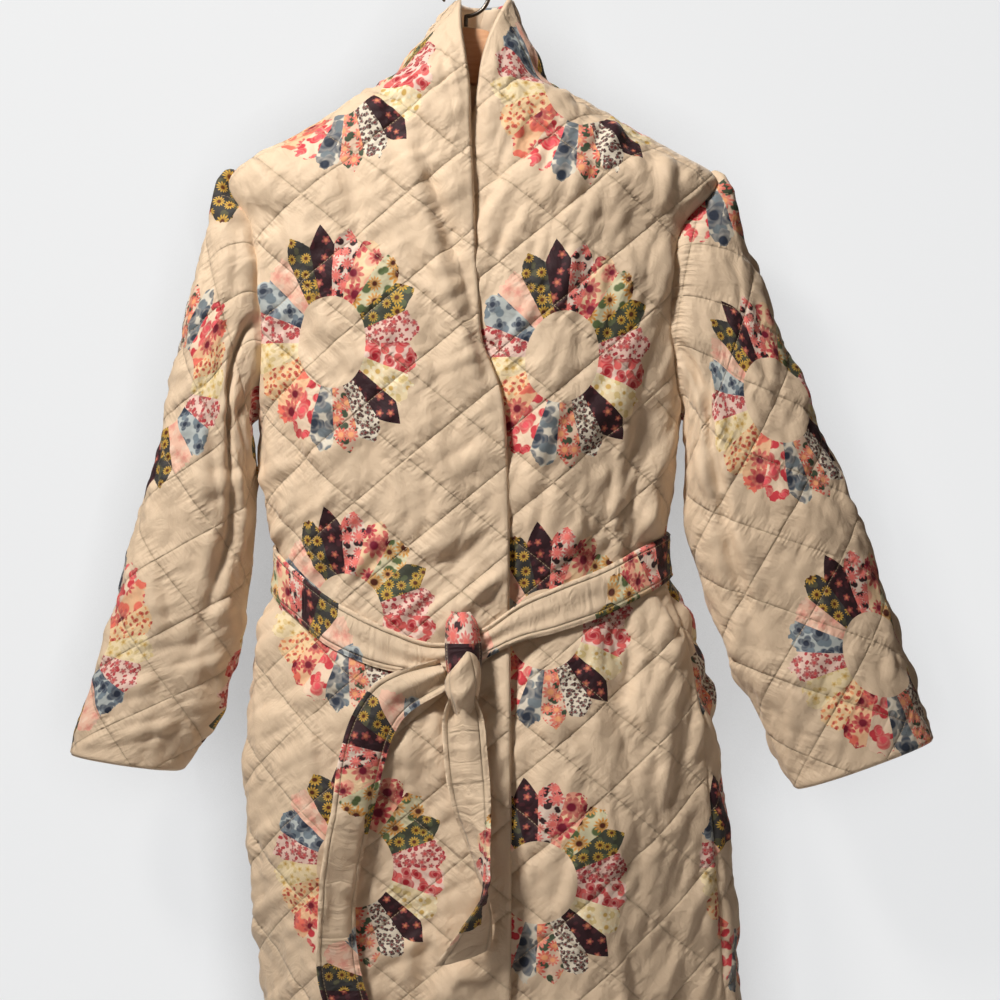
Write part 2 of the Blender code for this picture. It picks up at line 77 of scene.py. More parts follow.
def linear(red, green, blue):
    """A colour given in the 0 to 255 of a picture, as the light values that a shader takes."""
    shares = [channel / 255 for channel in (red, green, blue)]
    return (*[s / 12.92 if s < 0.04045 else ((s + 0.055) / 1.055) ** 2.4 for s in shares], 1.0)


def shader_material(name):
    """An empty material: its tree and its Principled shader."""
    made = bpy.data.materials.new(name)
    made.use_nodes = True
    tree = made.node_tree
    return made, tree, tree.nodes["Principled BSDF"]


def two_tone(tree, share, dark, light, low=0.0, high=1.0):
    """A ramp from a dark to a light colour between two shares."""
    ramp = add(tree, "ShaderNodeValToRGB", {"Fac": share})
    for stop, position, colour in zip(ramp.color_ramp.elements, (low, high), (dark, light)):
        stop.position, stop.color = position, linear(*colour)
    return ramp.outputs["Color"]


def set_sockets(shader, values):
    """Numbers that are the same all over a surface, set on the shader itself."""
    for socket, value in values.items():
        shader.inputs[socket].default_value = value


def mesh_object(name, points, faces, material):
    """A smooth-shaded object from points in millimetres."""
    data = bpy.data.meshes.new(name)
    data.from_pydata((np.asarray(points) * MM).tolist(), [], [list(face) for face in faces])
    data.shade_smooth()
    data.materials.append(material)
    made = bpy.data.objects.new(name, data)
    bpy.context.scene.collection.objects.link(made)
    return made


def unit(vectors):
    """The same directions, each one long."""
    return vectors / np.maximum(np.linalg.norm(vectors, axis=-1, keepdims=True), 1e-12)


def ring_faces(rows, sides):
    """Faces of a bar made of rings, one after another, with a cap at each end."""
    faces = []
    for row in range(rows - 1):
        for k in range(sides):
            low, nxt = row * sides + k, row * sides + (k + 1) % sides
            faces.append((low, nxt, nxt + sides, low + sides))
    last = (rows - 1) * sides
    return [*faces, tuple(range(sides))[::-1], tuple(range(last, last + sides))]


def tube(name, line, radii, sides, material, up):
    """A round bar along a line of points, with its radius at each and closed ends."""
    line = np.asarray(line, float)
    along = unit(np.gradient(line, axis=0))
    side = unit(np.cross(along, up))
    over = np.cross(side, along)
    turn = np.linspace(0, 2 * math.pi, sides, endpoint=False)
    ring = np.cos(turn)[None, :, None] * side[:, None] + np.sin(turn)[None, :, None] * over[:, None]
    points = (line[:, None] + ring * np.asarray(radii)[:, None, None]).reshape(-1, 3)
    return mesh_object(name, points, ring_faces(len(line), sides), material)


def place(piece, node, slot):
    """Ties a piece to the body and hides the part that it stands for; the finish it is given is not used."""
    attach(piece, "root")
    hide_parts(node)


steel, tree, shader = shader_material("dark_steel_wire")
where = add(tree, "ShaderNodeTexCoord").outputs["Object"]
wear = noise(tree, where, 260.0, 3.0)
tree.links.new(two_tone(tree, wear, (74, 68, 64), (128, 120, 112)), shader.inputs["Base Color"])
tree.links.new(ranged(tree, wear, 0.0, 1.0, 0.22, 0.42), shader.inputs["Roughness"])
set_sockets(shader, {"Metallic": 1.0})

HOOK_WIRE, HOOK_RADIUS, HOOK_TURN_DEG, HOOK_FOOT = 2.0, 22.0, 292.0, -51.7
turns = np.radians(np.linspace(-90, -90 + HOOK_TURN_DEG, 90))
loop_x, loop_z = HOOK_RADIUS * np.cos(turns), HOOK_WIRE - HOOK_RADIUS + HOOK_RADIUS * np.sin(turns)
stem_z = np.linspace(HOOK_FOOT, loop_z[0] - 1.5, 8)
wire_x = np.concatenate([np.zeros_like(stem_z), loop_x])
wire_z = np.concatenate([stem_z, loop_z])
wire = np.stack([wire_x, 0 * wire_x, wire_z], axis=1)
from_tip = np.arange(len(wire))[::-1]
radii = HOOK_WIRE * np.sqrt(np.clip(from_tip / 3 + 0.15, 0, 1))
hook = tube("hanger_hook_wire", wire, radii, 16, steel, up=(0, 1, 0))
place(hook, "hanger_hook", "hook_steel")

# The hanger's arms: one piece of beech shaped to the shoulders, sanded round and varnished.
# The coat's shoulders lie on it and the hook's stem stands on its top.

HangerRing = namedtuple("HangerRing", "x top bottom half_thick")
HANGER_HALF = [
    HangerRing(0, -52, -107, 7),
    HangerRing(26, -59, -112, 7),
    HangerRing(50, -88, -128, 7),
    HangerRing(76, -115.7, -147, 7),
    HangerRing(112, -136.7, -169, 7),
    HangerRing(150, -158.7, -190, 7),
    HangerRing(180, -176.7, -204, 6.5),
    HangerRing(194, -189, -206, 5),
]
ARM_REACH, ARM_END_ROUND, ARM_SQUARENESS = HANGER_HALF[-1].x, 5, 0.75


def smooth_columns(rows, at):
    """Every column after a table's first at places along the first, on smooth curves through its rows."""
    table = np.array(sorted(rows), float)
    spot, values = table[:, 0], table[:, 1:]
    slopes = np.gradient(values, spot, axis=0)
    at = np.clip(np.asarray(at, float), spot[0], spot[-1])
    low = np.clip(np.searchsorted(spot, at, side="right") - 1, 0, len(spot) - 2)
    span = spot[low + 1] - spot[low]
    t = ((at - spot[low]) / span)[..., None]
    span = span[..., None]
    made = (
        (2 * t**3 - 3 * t**2 + 1) * values[low]
        + (t**3 - 2 * t**2 + t) * span * slopes[low]
        + (3 * t**2 - 2 * t**3) * values[low + 1]
        + (t**3 - t**2) * span * slopes[low + 1]
    )
    return np.moveaxis(made, -1, 0)


def signed_power(values, power):
    """A power of each number's size, with the number's sign."""
    return np.sign(values) * np.abs(values) ** power


def cover(tree, shader, colour, height, distance, strength=1.0):
    """Gives a shader its colour, and relief from a height."""
    tree.links.new(colour, shader.inputs["Base Color"])
    bump = add(tree, "ShaderNodeBump", {"Height": height, "Strength": strength, "Distance": distance})
    tree.links.new(bump.outputs[0], shader.inputs["Normal"])


beech, tree, shader = shader_material("varnished_beech")
where = add(tree, "ShaderNodeTexCoord").outputs["Object"]
long_grain = add(tree, "ShaderNodeMapping", {"Vector": where, "Scale": (14.0, 160.0, 160.0)}).outputs[0]
grain = noise(tree, long_grain, 2.0, 6.0)
flecks = noise(tree, long_grain, 9.0, 2.0)
figure = maths(tree, "MULTIPLY_ADD", flecks, 0.35, maths(tree, "MULTIPLY", grain, 0.7))
colour = two_tone(tree, figure, (214, 158, 118), (238, 190, 150), 0.3, 0.75)
cover(tree, shader, colour, grain, 0.0006, strength=0.15)
set_sockets(shader, {"Roughness": 0.38, "Coat Weight": 0.35})

stations = np.linspace(-ARM_REACH, ARM_REACH, 130)
top, bottom, thick = smooth_columns(HANGER_HALF, np.abs(stations))
end_round = np.sqrt(np.clip((ARM_REACH - np.abs(stations)) / ARM_END_ROUND + 0.08, 0, 1))
turn = np.linspace(0, 2 * math.pi, 28, endpoint=False)
up, out = signed_power(np.sin(turn), ARM_SQUARENESS), signed_power(np.cos(turn), ARM_SQUARENESS)
arm_z = ((top + bottom) / 2)[:, None] + up * ((top - bottom) / 2 * end_round)[:, None]
arm_y = out * (thick * end_round)[:, None]
arm_x = np.repeat(stations[:, None], len(turn), axis=1)
points = np.stack([arm_x, arm_y, arm_z], axis=-1).reshape(-1, 3)
faces = [face[::-1] for face in ring_faces(len(stations), len(turn))]
hanger = mesh_object("hanger_wood_arms", points, faces, beech)
place(hanger, "hanger_wood", "hanger_beech")

# The coat's cloth: cream cotton printed with rings of patchwork petals, wadded and stitched in
# diamonds. The shell is drawn over rings round the body; puffs, puckers and creases stand on it.
# The wearer's right front comes first, cut in one with its collar half. It laps over the left.

HEM_Z, UNDERARM_Z, SHOULDER_Z, NECK_Z, COLLAR_TOP_Z = -1178.0, -426.0, -190.0, -105.0, -28.0
ARMHOLE_FRONT_DEG, ARMHOLE_BACK_DEG = 22.0, 18.0
LAP_DEPTH, LAP_RUN = 9.0, 50.0
BELT_DENT, BELT_DENT_HEIGHT = 6.0, 34.0
LINING_DEPTH = 4.5
QUILT_WIDE, QUILT_HIGH = 100.0, 82.0
PUFF = 3.6

Section = namedtuple("Section", "z left right front back power")
BODY = [
    Section(-1178, -182, 268, -106, 88, 2.3),
    Section(-977, -188, 262, -103, 84, 2.3),
    Section(-882, -199, 257, -101, 80, 2.3),
    Section(-800, -207, 248, -99, 77, 2.3),
    Section(-740, -209, 239, -96, 73, 2.3),
    Section(-692, -204, 227, -91, 68, 2.3),
    Section(-635, -195, 213, -84, 62, 2.35),
    Section(-600, -187, 202, -79, 58, 2.35),
    Section(-560, -182, 194, -75, 57, 2.4),
    Section(-502, -190, 196, -76, 60, 2.4),
    Section(-426, -196, 203, -77, 60, 2.45),
    Section(-312, -206, 206, -71, 56, 2.5),
    Section(-245, -211, 213, -66, 53, 2.5),
    Section(-190, -219, 232, -60, 50, 2.35),
    Section(-175, -197, 206, -56, 48, 2.05),
    Section(-150, -152, 158, -54, 46, 2.0),
    Section(-125, -108, 112, -52, 45, 2.0),
    Section(-105, -75, 76, -49, 46, 2.0),
    Section(-80, -55, 64, -43, 47, 2.0),
    Section(-50, -30, 53, -33, 48, 2.0),
    Section(-28, -10, 45, -24, 48, 2.0),
]
Edge = namedtuple("Edge", "z over under")
FRONT_EDGES = [
    Edge(-1178, 39, -60),
    Edge(-600, 39, -60),
    Edge(-470, 37, -58),
    Edge(-400, 31, -50),
    Edge(-350, 14, -42),
    Edge(-300, 9, -31),
    Edge(-217, 6, -10),
    Edge(-155, 3, 5),
    Edge(-115, 2, 14),
    Edge(-84, -2, 19),
    Edge(-59, -6, 27),
    Edge(-28, -8, 43),
]
SideSeam = namedtuple("SideSeam", "z right_deg left_deg")
SIDE_SEAMS = [
    SideSeam(-1178, -97, 66),
    SideSeam(-740, -97, 68),
    SideSeam(-600, -94, 76),
    SideSeam(-500, -90, 88),
    SideSeam(UNDERARM_Z, -90, 90),
]
BeltPoint = namedtuple("BeltPoint", "angle_deg z")
BELT_LINE = [
    BeltPoint(-359.4, -635),
    BeltPoint(-352, -617),
    BeltPoint(-341, -603),
    BeltPoint(-325, -587),
    BeltPoint(-307, -570),
    BeltPoint(-285, -557),
    BeltPoint(-240, -552),
    BeltPoint(-180, -552),
    BeltPoint(-120, -558),
    BeltPoint(-79, -571),
    BeltPoint(-59, -588),
    BeltPoint(-35, -620),
    BeltPoint(-18, -640),
    BeltPoint(-9, -647),
    BeltPoint(-3.5, -646),
]

# Ridges (positive depth) and troughs, the largest folds first and the finer creases after them
Fold = namedtuple("Fold", "side x_top z_top x_low z_low width depth")
FOLDS = [
    Fold("front", 150, -590, 157, -770, 20, -8),
    Fold("front", 182, -595, 214, -740, 20, 7),
    Fold("front", 108, -640, 128, -1300, 48, 9),
    Fold("front", 190, -790, 205, -1300, 36, -8),
    Fold("front", -58, -660, -46, -1300, 42, -9),
    Fold("front", -124, -650, -128, -1300, 42, 8),
    Fold("front", -152, -585, -168, -720, 22, -6),
    Fold("front", 132, -420, 128, -585, 17, -6),
    Fold("front", 166, -400, 160, -580, 18, -7),
    Fold("front", -68, -140, 16, -405, 12, 6),
    Fold("front", -47, -155, 34, -415, 10, -7),
    Fold("front", -112, -165, -100, -300, 10, -3.5),
    Fold("front", -74, -120, -60, -220, 9, -3.5),
    Fold("front", -150, -200, -146, -330, 10, 3),
    Fold("front", -166, -270, -160, -570, 16, -6),
    Fold("front", 124, -150, 128, -260, 10, -3),
    Fold("front", 152, -180, 158, -290, 10, -3),
    Fold("front", 20, -215, 62, -150, 14, -5),
    Fold("back", -90, -600, -104, -1300, 44, 10),
    Fold("back", -8, -580, -4, -1300, 46, -9),
    Fold("back", 92, -600, 112, -1300, 44, 9),
    Fold("back", 174, -640, 190, -1300, 34, -7),
    Fold("back", -64, -330, -84, -575, 26, -6),
    Fold("back", 58, -360, 78, -575, 26, -6),
]
FOLD_FADE = 0.25


def ease(t):
    """0 below 0, 1 above 1 and smooth between."""
    t = np.clip(t, 0.0, 1.0)
    return t * t * (3 - 2 * t)


def soft_noise(x, y, seed):
    """Smooth noise from -1 to 1 with one bump to about every unit of x and y."""
    x_cell, y_cell = np.floor(x), np.floor(y)
    x_off, y_off = x - x_cell, y - y_cell

    def pull(i, j):
        """The slope of one corner of the cell, followed to the place."""
        mixed = np.sin((x_cell + i) * 127.1 + (y_cell + j) * 311.7 + seed * 74.7) * 43758.5453
        way = 2 * math.pi * (mixed - np.floor(mixed))
        return np.cos(way) * (x_off - i) + np.sin(way) * (y_off - j)

    x_share, y_share = ease(x_off), ease(y_off)
    low = pull(0, 0) * (1 - x_share) + pull(1, 0) * x_share
    high = pull(0, 1) * (1 - x_share) + pull(1, 1) * x_share
    return 1.5 * (low * (1 - y_share) + high * y_share)


def ring_points(angle, z):
    """Points of the body's rings at angles from the centre front, towards the wearer's left."""
    left, right, front, back, power = smooth_columns(BODY, z)
    middle, half = (left + right) / 2, (right - left) / 2
    across, along = np.sin(angle), np.cos(angle)
    x = middle + half * signed_power(across, 2 / power)
    y = np.where(along > 0, front, back) * np.abs(along) ** (2 / power)
    return np.stack([x, y, z + 0 * angle], axis=-1)


def ring_normals(angle, z):
    """Outward directions of the body's rings."""
    turn, rise = 1e-3, 0.5
    around = ring_points(angle + turn, z) - ring_points(angle - turn, z)
    up = ring_points(angle, z + rise) - ring_points(angle, z - rise)
    return unit(np.cross(around, up))


def ring_angle(x, z):
    """The angle on the front of the ring where it passes x."""
    left, right, _, _, power = smooth_columns(BODY, z)
    share = np.clip((x - (left + right) / 2) / ((right - left) / 2), -1, 1)
    return np.arcsin(signed_power(share, power / 2))


def belt_height(angle):
    """The height of the belt's middle line at any angle round the waist."""
    rows = [BeltPoint(math.radians(row.angle_deg), row.z) for row in BELT_LINE]
    turned = np.mod(np.asarray(angle, float) - rows[-1].angle_deg, -2 * math.pi)
    return smooth_columns(rows, turned + rows[-1].angle_deg)[0]


def fold_height(points, angle):
    """How far the folds and the belt's pull lift the cloth off its ring."""
    x, z = points[..., 0], points[..., 2]
    on_front = np.cos(angle) > 0
    lift = -BELT_DENT * np.exp(-(((z - belt_height(angle)) / BELT_DENT_HEIGHT) ** 2))
    for fold in FOLDS:
        along = (z - fold.z_low) / (fold.z_top - fold.z_low)
        across = (x - fold.x_low - (fold.x_top - fold.x_low) * along) / fold.width
        fade = ease(along / FOLD_FADE) * ease((1 - along) / FOLD_FADE)
        here = on_front if fold.side == "front" else ~on_front
        lift = lift + np.where(here, fold.depth * fade * np.exp(-(across**2)), 0.0)
    return lift


BELT_GATHER, BELT_GATHER_REACH = 0.8, 80
SKIRT_GATHER, SKIRT_GATHER_REACH = 0.25, 100
BELT_HOLD = 30.0


def gathers(points, angle):
    """How much stronger the folds are near the belt, which draws the cloth in, and down the skirt."""
    above = points[..., 2] - belt_height(angle)
    near_belt = BELT_GATHER * np.exp(-np.abs(above) / BELT_GATHER_REACH)
    return 1.0 + near_belt + SKIRT_GATHER * ease(-above / SKIRT_GATHER_REACH)


def under_belt(points, angle):
    """0 where the belt holds the cloth flat, 1 where it is free of it."""
    return 1 - np.exp(-(((points[..., 2] - belt_height(angle)) / BELT_HOLD) ** 4))


def run_lengths(points, axis=0):
    """Lengths along lines of points, from the first row or column of a grid."""
    steps = np.linalg.norm(np.diff(points, axis=axis), axis=-1)
    start = np.zeros_like(np.take(steps, [0], axis=axis))
    return np.concatenate([start, np.cumsum(steps, axis=axis)], axis=axis)


def even_angles(start, end, z, count):
    """Angles that part a stretch of one ring into equal lengths."""
    fine = np.linspace(start, end, 400)
    length = run_lengths(ring_points(fine, np.full_like(fine, z)))
    return np.interp(np.linspace(0, length[-1], count), length, fine)


def body_levels(step, top):
    """Heights of a panel's rows from the hem up, closer where the shoulders slope."""
    skirt = np.linspace(HEM_Z, SHOULDER_Z, round((SHOULDER_Z - HEM_Z) / step) + 1)
    shoulder = np.linspace(SHOULDER_Z, NECK_Z, round((NECK_Z - SHOULDER_Z) / (0.6 * step)) + 1)
    collar = np.linspace(NECK_Z, COLLAR_TOP_Z, round((COLLAR_TOP_Z - NECK_Z) / step) + 1)
    levels = np.concatenate([skirt, shoulder[1:], collar[1:]])
    return levels[levels <= top + 1e-6]


def side_angle(z, wearer_right, inset_deg):
    """The ring angle of a panel's outer edge: side seam, armhole or shoulder seam."""
    right_deg, left_deg = smooth_columns(SIDE_SEAMS, z)
    angle = math.radians(float(right_deg if wearer_right else left_deg))
    if UNDERARM_Z < z < SHOULDER_Z:
        share = (z - UNDERARM_Z) / (SHOULDER_Z - UNDERARM_Z)
        inset = math.radians(inset_deg) * math.sin(math.pi * share) ** 0.6
        angle += inset if wearer_right else -inset
    return angle


def cut_lengths(points, angle, z):
    """Where each point lies on the flat cut: lengths round the ring from x = 0, and up the cloth."""
    start = ring_angle(np.zeros(len(z)), z)
    across = np.zeros(angle.shape)
    for row, level in enumerate(z):
        reach = angle[row]
        sweep = np.linspace(min(reach.min(), start[row]), max(reach.max(), start[row]), 500)
        length = run_lengths(ring_points(sweep, np.full_like(sweep, level)))
        across[row] = np.interp(reach, sweep, length) - np.interp(start[row], sweep, length)
    along_row = unit(np.gradient(points, axis=1))
    climb = np.diff(points, axis=0)
    drift = (climb * along_row[1:]).sum(axis=-1, keepdims=True) * along_row[1:]
    steps = np.linalg.norm(climb - drift, axis=-1)
    up = np.concatenate([np.zeros((1, points.shape[1])), np.cumsum(steps, axis=0)])
    level_row = np.searchsorted(z, UNDERARM_Z)
    return across, up - up[level_row] + z[level_row]


def fold_noise(x, y, seed):
    """Noise like hanging cloth: rounded ridges with sharper valleys between them."""
    wave = soft_noise(x, y, seed)
    return 0.5 * wave + 0.5 * (2.4 * np.abs(wave) - 0.7)


def chance_of(number):
    """A steady random share for each whole number."""
    mixed = np.sin(number * 12.9898 + 4.1) * 43758.5453
    return mixed - np.floor(mixed)


PUCKER_RISE, PUCKER_LENGTH, PUCKER_OFF = 1.6, 12.0, 9.0
STREAK_RISE, SWAY_RISE, DENT_RISE, WANDER = 4.4, 5.2, 3.4, 12


def quilt_height(u, v, seed, lean=0.0, drape=1.0, puff=PUFF):
    """Height of the wadding on the flat cut: puffs in the diamonds, puckers at the stitching and folds."""
    a, b = u / QUILT_WIDE + v / QUILT_HIGH, u / QUILT_WIDE - v / QUILT_HIGH
    pitch = 1 / math.hypot(1 / QUILT_WIDE, 1 / QUILT_HIGH)
    slope = math.atan2(QUILT_HIGH, QUILT_WIDE)
    arch, pucker = np.ones_like(u), np.zeros_like(u)
    for line, way in ((a, -slope), (b, slope)):
        off = np.abs(line - np.round(line))
        arch = arch * np.sqrt(4 * off * (1 - off))
        run = u * math.cos(way) + v * math.sin(way)
        which = np.round(line) + 40 * (way > 0)
        gap = off * pitch / PUCKER_OFF
        pull = soft_noise(run / PUCKER_LENGTH, which * 3.7 + gap / 4, seed + 5)
        pucker += gap * np.exp(1 - gap) * pull
    diamond = np.floor(a) * 13.0 + np.floor(b) * 29.0 + seed
    tall, tilt_a, tilt_b = (chance_of(diamond + k) for k in (0.0, 0.37, 0.71))
    tilt = (tilt_a - 0.5) * (a - np.floor(a) - 0.5) + (tilt_b - 0.5) * (b - np.floor(b) - 0.5)
    swell = puff * arch * (0.7 + 0.5 * tall + 1.4 * tilt)
    w = u + lean * v + WANDER * soft_noise(u / 80, v / 80, seed + 8)
    streak = STREAK_RISE * fold_noise(w / 24, v / 105, seed + 9)
    streak = streak + SWAY_RISE * soft_noise(w / 50, v / 170, seed + 10)
    crossing = u * math.cos(0.9 + seed) + v * math.sin(0.9 + seed)
    dents = DENT_RISE * fold_noise(crossing / 27, (u - v) / 50, seed + 11)
    return swell + PUCKER_RISE * pucker + drape * (streak * (0.5 + 0.5 * arch) + dents * arch)


Petal = namedtuple("Petal", "ground flower heart leaf spread points fill pointed")
PETALS = [
    Petal((52, 50, 54), (236, 190, 78), (92, 44, 24), (86, 84, 62), 13.0, 12, 0.42, 0.5),
    Petal((42, 18, 26), (150, 62, 70), (214, 130, 96), (74, 32, 40), 13.0, 5, 0.30, 1),
    Petal((246, 222, 206), (212, 52, 58), (236, 120, 110), (52, 28, 32), 12.0, 9, 0.52, 0.6),
    Petal((243, 214, 172), (214, 48, 74), (120, 14, 44), (246, 176, 150), 21.0, 9, 0.52, 0.2),
    Petal((232, 222, 186), (232, 158, 52), (84, 34, 18), (96, 112, 70), 19.0, 12, 0.44, 0.2),
    Petal((64, 66, 58), (232, 188, 74), (90, 46, 24), (96, 104, 74), 12.5, 12, 0.44, 0.8),
    Petal((244, 212, 198), (156, 36, 50), (206, 84, 84), (172, 52, 62), 8.5, 5, 0.42, 0.2),
    Petal((246, 222, 208), (206, 40, 52), (164, 24, 40), (228, 104, 100), 14.0, 2, 0.52, 0.2),
    Petal((242, 222, 184), (246, 236, 208), (206, 168, 92), (222, 198, 140), 14.0, 6, 0.44, 0.2),
    Petal((42, 18, 26), (150, 62, 70), (220, 140, 100), (74, 32, 40), 13.0, 5, 0.30, 1),
    Petal((240, 230, 212), (48, 30, 34), (120, 50, 50), (80, 52, 48), 6.0, 3, 0.44, 0.2),
    Petal((236, 204, 180), (212, 52, 54), (240, 170, 120), (64, 78, 58), 14.0, 9, 0.52, 0.7),
    Petal((232, 222, 204), (74, 86, 102), (44, 52, 68), (116, 126, 132), 23.0, 4, 0.54, 0.4),
    Petal((242, 224, 196), (214, 40, 60), (236, 90, 100), (206, 60, 70), 16.0, 2, 0.48, 0.1),
    Petal((245, 204, 160), (214, 52, 74), (118, 14, 40), (240, 120, 100), 22.0, 9, 0.52, 0.1),
    Petal((243, 214, 168), (202, 84, 62), (190, 60, 54), (238, 160, 110), 7.5, 2, 0.34, 0.1),
    Petal((242, 222, 184), (234, 208, 148), (208, 168, 92), (224, 200, 146), 11.0, 5, 0.36, 0.1),
    Petal((244, 216, 202), (160, 40, 54), (206, 84, 86), (190, 66, 72), 9.0, 5, 0.42, 0.1),
    Petal((196, 202, 200), (64, 78, 100), (42, 50, 68), (122, 136, 146), 17.0, 4, 0.50, 0.1),
    Petal((243, 196, 172), (240, 178, 156), (234, 162, 146), (246, 210, 188), 15.0, 5, 0.36, 0.1),
]
PLATE_RADIUS, PLATE_HOLE = 0.090, 0.038
PLATE_STEP_U, PLATE_STEP_V = 0.240, 0.257
PLATE_SQUEEZE = 0.91
FIRST_PETAL_DEG = 126.0
SPREAD_UNIT, POINTS_UNIT = 32.0, 16.0


def petal_ramp(tree, share, colour_of, alpha_of):
    """A colour for each petal in turn round the plate, with one more value in its alpha."""
    ramp = add(tree, "ShaderNodeValToRGB", {"Fac": share})
    ramp.color_ramp.interpolation = "CONSTANT"
    stops = ramp.color_ramp.elements
    while len(stops) < len(PETALS):
        stops.new(1.0)
    for place_in_turn, (stop, petal) in enumerate(zip(stops, PETALS)):
        stop.position = place_in_turn / len(PETALS)
        stop.color = (*linear(*colour_of(petal))[:3], alpha_of(petal))
    return ramp.outputs["Color"], ramp.outputs["Alpha"]


def vector_maths(tree, operation, a, b):
    """The vector from one vector arithmetic node."""
    return add(tree, "ShaderNodeVectorMath", {0: a, 1: b}, operation=operation).outputs[0]


def blossom(tree, spot, points, fill, seed):
    """Flowers strewn over a patch.

    Gives masks of their petals and hearts, the nearness to a heart, brush marks and a chance for each flower.
    """
    moved = vector_maths(tree, "ADD", spot, (seed, 2.7 * seed, 0.0))
    strewing = {"Vector": moved, "Scale": 1.0, "Randomness": 0.6}
    cells = add(tree, "ShaderNodeTexVoronoi", strewing, voronoi_dimensions="2D").outputs
    to_middle = vector_maths(tree, "SUBTRACT", moved, cells["Position"])
    parts = add(tree, "ShaderNodeSeparateXYZ", {0: to_middle}).outputs
    chance = add(tree, "ShaderNodeSeparateColor", {0: cells["Color"]}).outputs
    heading = maths(tree, "ARCTAN2", parts[1], parts[0])
    heading = maths(tree, "MULTIPLY_ADD", chance[0], 2 * math.pi, heading)
    wave = maths(tree, "COSINE", maths(tree, "MULTIPLY", heading, points))
    lobes = maths(tree, "MULTIPLY_ADD", wave, 0.5, 0.5)
    size = maths(tree, "MULTIPLY", fill, maths(tree, "MULTIPLY_ADD", chance[1], 0.55, 0.7))
    outline = maths(tree, "MULTIPLY_ADD", maths(tree, "POWER", lobes, 0.6), 0.45, 0.6)
    off = cells["Distance"]
    petals = ranged(tree, maths(tree, "SUBTRACT", maths(tree, "MULTIPLY", size, outline), off), -0.02, 0.05)
    heart = ranged(tree, maths(tree, "SUBTRACT", maths(tree, "MULTIPLY", size, 0.34), off), -0.04, 0.03)
    share = maths(tree, "DIVIDE", off, size)
    near = ranged(tree, share, 0.15, 0.95, 1.0, 0.0)
    spiral = maths(tree, "MULTIPLY_ADD", share, 15.0, maths(tree, "MULTIPLY", heading, 3.0))
    swirl = maths(tree, "SINE", spiral)
    brush = maths(tree, "MULTIPLY_ADD", swirl, 0.25, maths(tree, "MULTIPLY_ADD", lobes, -0.35, 0.5))
    return petals, heart, near, brush, chance[2]


def mix(tree, share, low, high):
    """One colour over another by a share."""
    node = add(tree, "ShaderNodeMix", data_type="RGBA")
    for socket, value in ((node.inputs[0], share), (node.inputs[6], low), (node.inputs[7], high)):
        if isinstance(value, bpy.types.NodeSocket):
            tree.links.new(value, socket)
        else:
            socket.default_value = value
    return node.outputs[2]


def node_group(name, **outputs):
    """An empty shader group over a place on the cloth: its tree, the place and the sockets of its outputs."""
    tree = bpy.data.node_groups.new(name, "ShaderNodeTree")
    tree.interface.new_socket("Place", in_out="INPUT", socket_type="NodeSocketVector")
    for socket, kind in outputs.items():
        tree.interface.new_socket(socket, in_out="OUTPUT", socket_type=f"NodeSocket{kind}")
    given = tree.nodes.new("NodeGroupInput").outputs
    return tree, given["Place"], tree.nodes.new("NodeGroupOutput").inputs


# The printed plates: rings of wedge petals round a bare disc, each petal with its own strewn print
plate_print, spot, result = node_group("Plate print", Colour="Color", Mask="Float")
tree = plate_print
parts = add(tree, "ShaderNodeSeparateXYZ", {0: spot}).outputs
local_u = maths(tree, "WRAP", parts[0], PLATE_STEP_U / 2, -PLATE_STEP_U / 2)
local_u = maths(tree, "DIVIDE", local_u, PLATE_SQUEEZE)
local_v = maths(tree, "WRAP", parts[1], PLATE_STEP_V / 2, -PLATE_STEP_V / 2)
local_v = maths(tree, "MULTIPLY", local_v, PLATE_SQUEEZE)
square = maths(tree, "MULTIPLY_ADD", local_u, local_u, maths(tree, "MULTIPLY", local_v, local_v))
radius = maths(tree, "SQRT", square)
clockwise = maths(tree, "SUBTRACT", math.radians(FIRST_PETAL_DEG), maths(tree, "ARCTAN2", local_v, local_u))
turned = maths(tree, "WRAP", maths(tree, "DIVIDE", clockwise, 2 * math.pi), 1.0, 0.0)
in_petal = maths(tree, "FRACT", maths(tree, "MULTIPLY", turned, len(PETALS)))
off_middle = maths(tree, "ABSOLUTE", maths(tree, "MULTIPLY_ADD", in_petal, 2.0, -1.0))
ground, pointed = petal_ramp(tree, turned, lambda p: p.ground, lambda p: p.pointed)
flower, spread = petal_ramp(tree, turned, lambda p: p.flower, lambda p: p.spread / SPREAD_UNIT)
heart, points = petal_ramp(tree, turned, lambda p: p.heart, lambda p: p.points / POINTS_UNIT)
leaf, fill = petal_ramp(tree, turned, lambda p: p.leaf, lambda p: p.fill)
arc = maths(tree, "SQRT", maths(tree, "SUBTRACT", 1.0, maths(tree, "POWER", off_middle, 2.6)))
round_tip = maths(tree, "MULTIPLY_ADD", arc, 0.10, 0.90)
gable_tip = maths(tree, "MULTIPLY_ADD", off_middle, -0.19, 1.08)
rounded = maths(tree, "MULTIPLY", round_tip, maths(tree, "SUBTRACT", 1.0, pointed))
tip = maths(tree, "ADD", maths(tree, "MULTIPLY", gable_tip, pointed), rounded)
ragged = maths(tree, "SUBTRACT", noise(tree, spot, 62.0, 3.0, Roughness=0.65), 0.5)
fray = maths(tree, "MULTIPLY", ragged, maths(tree, "MULTIPLY_ADD", pointed, -0.30, 0.30))
outer = maths(tree, "LESS_THAN", radius, maths(tree, "MULTIPLY", maths(tree, "ADD", tip, fray), PLATE_RADIUS))
mask = maths(tree, "MULTIPLY", outer, maths(tree, "GREATER_THAN", radius, PLATE_HOLE))
grain_size = maths(tree, "DIVIDE", 1.0, maths(tree, "MULTIPLY", spread, SPREAD_UNIT * MM))
scaling = {0: spot, "Scale": grain_size}
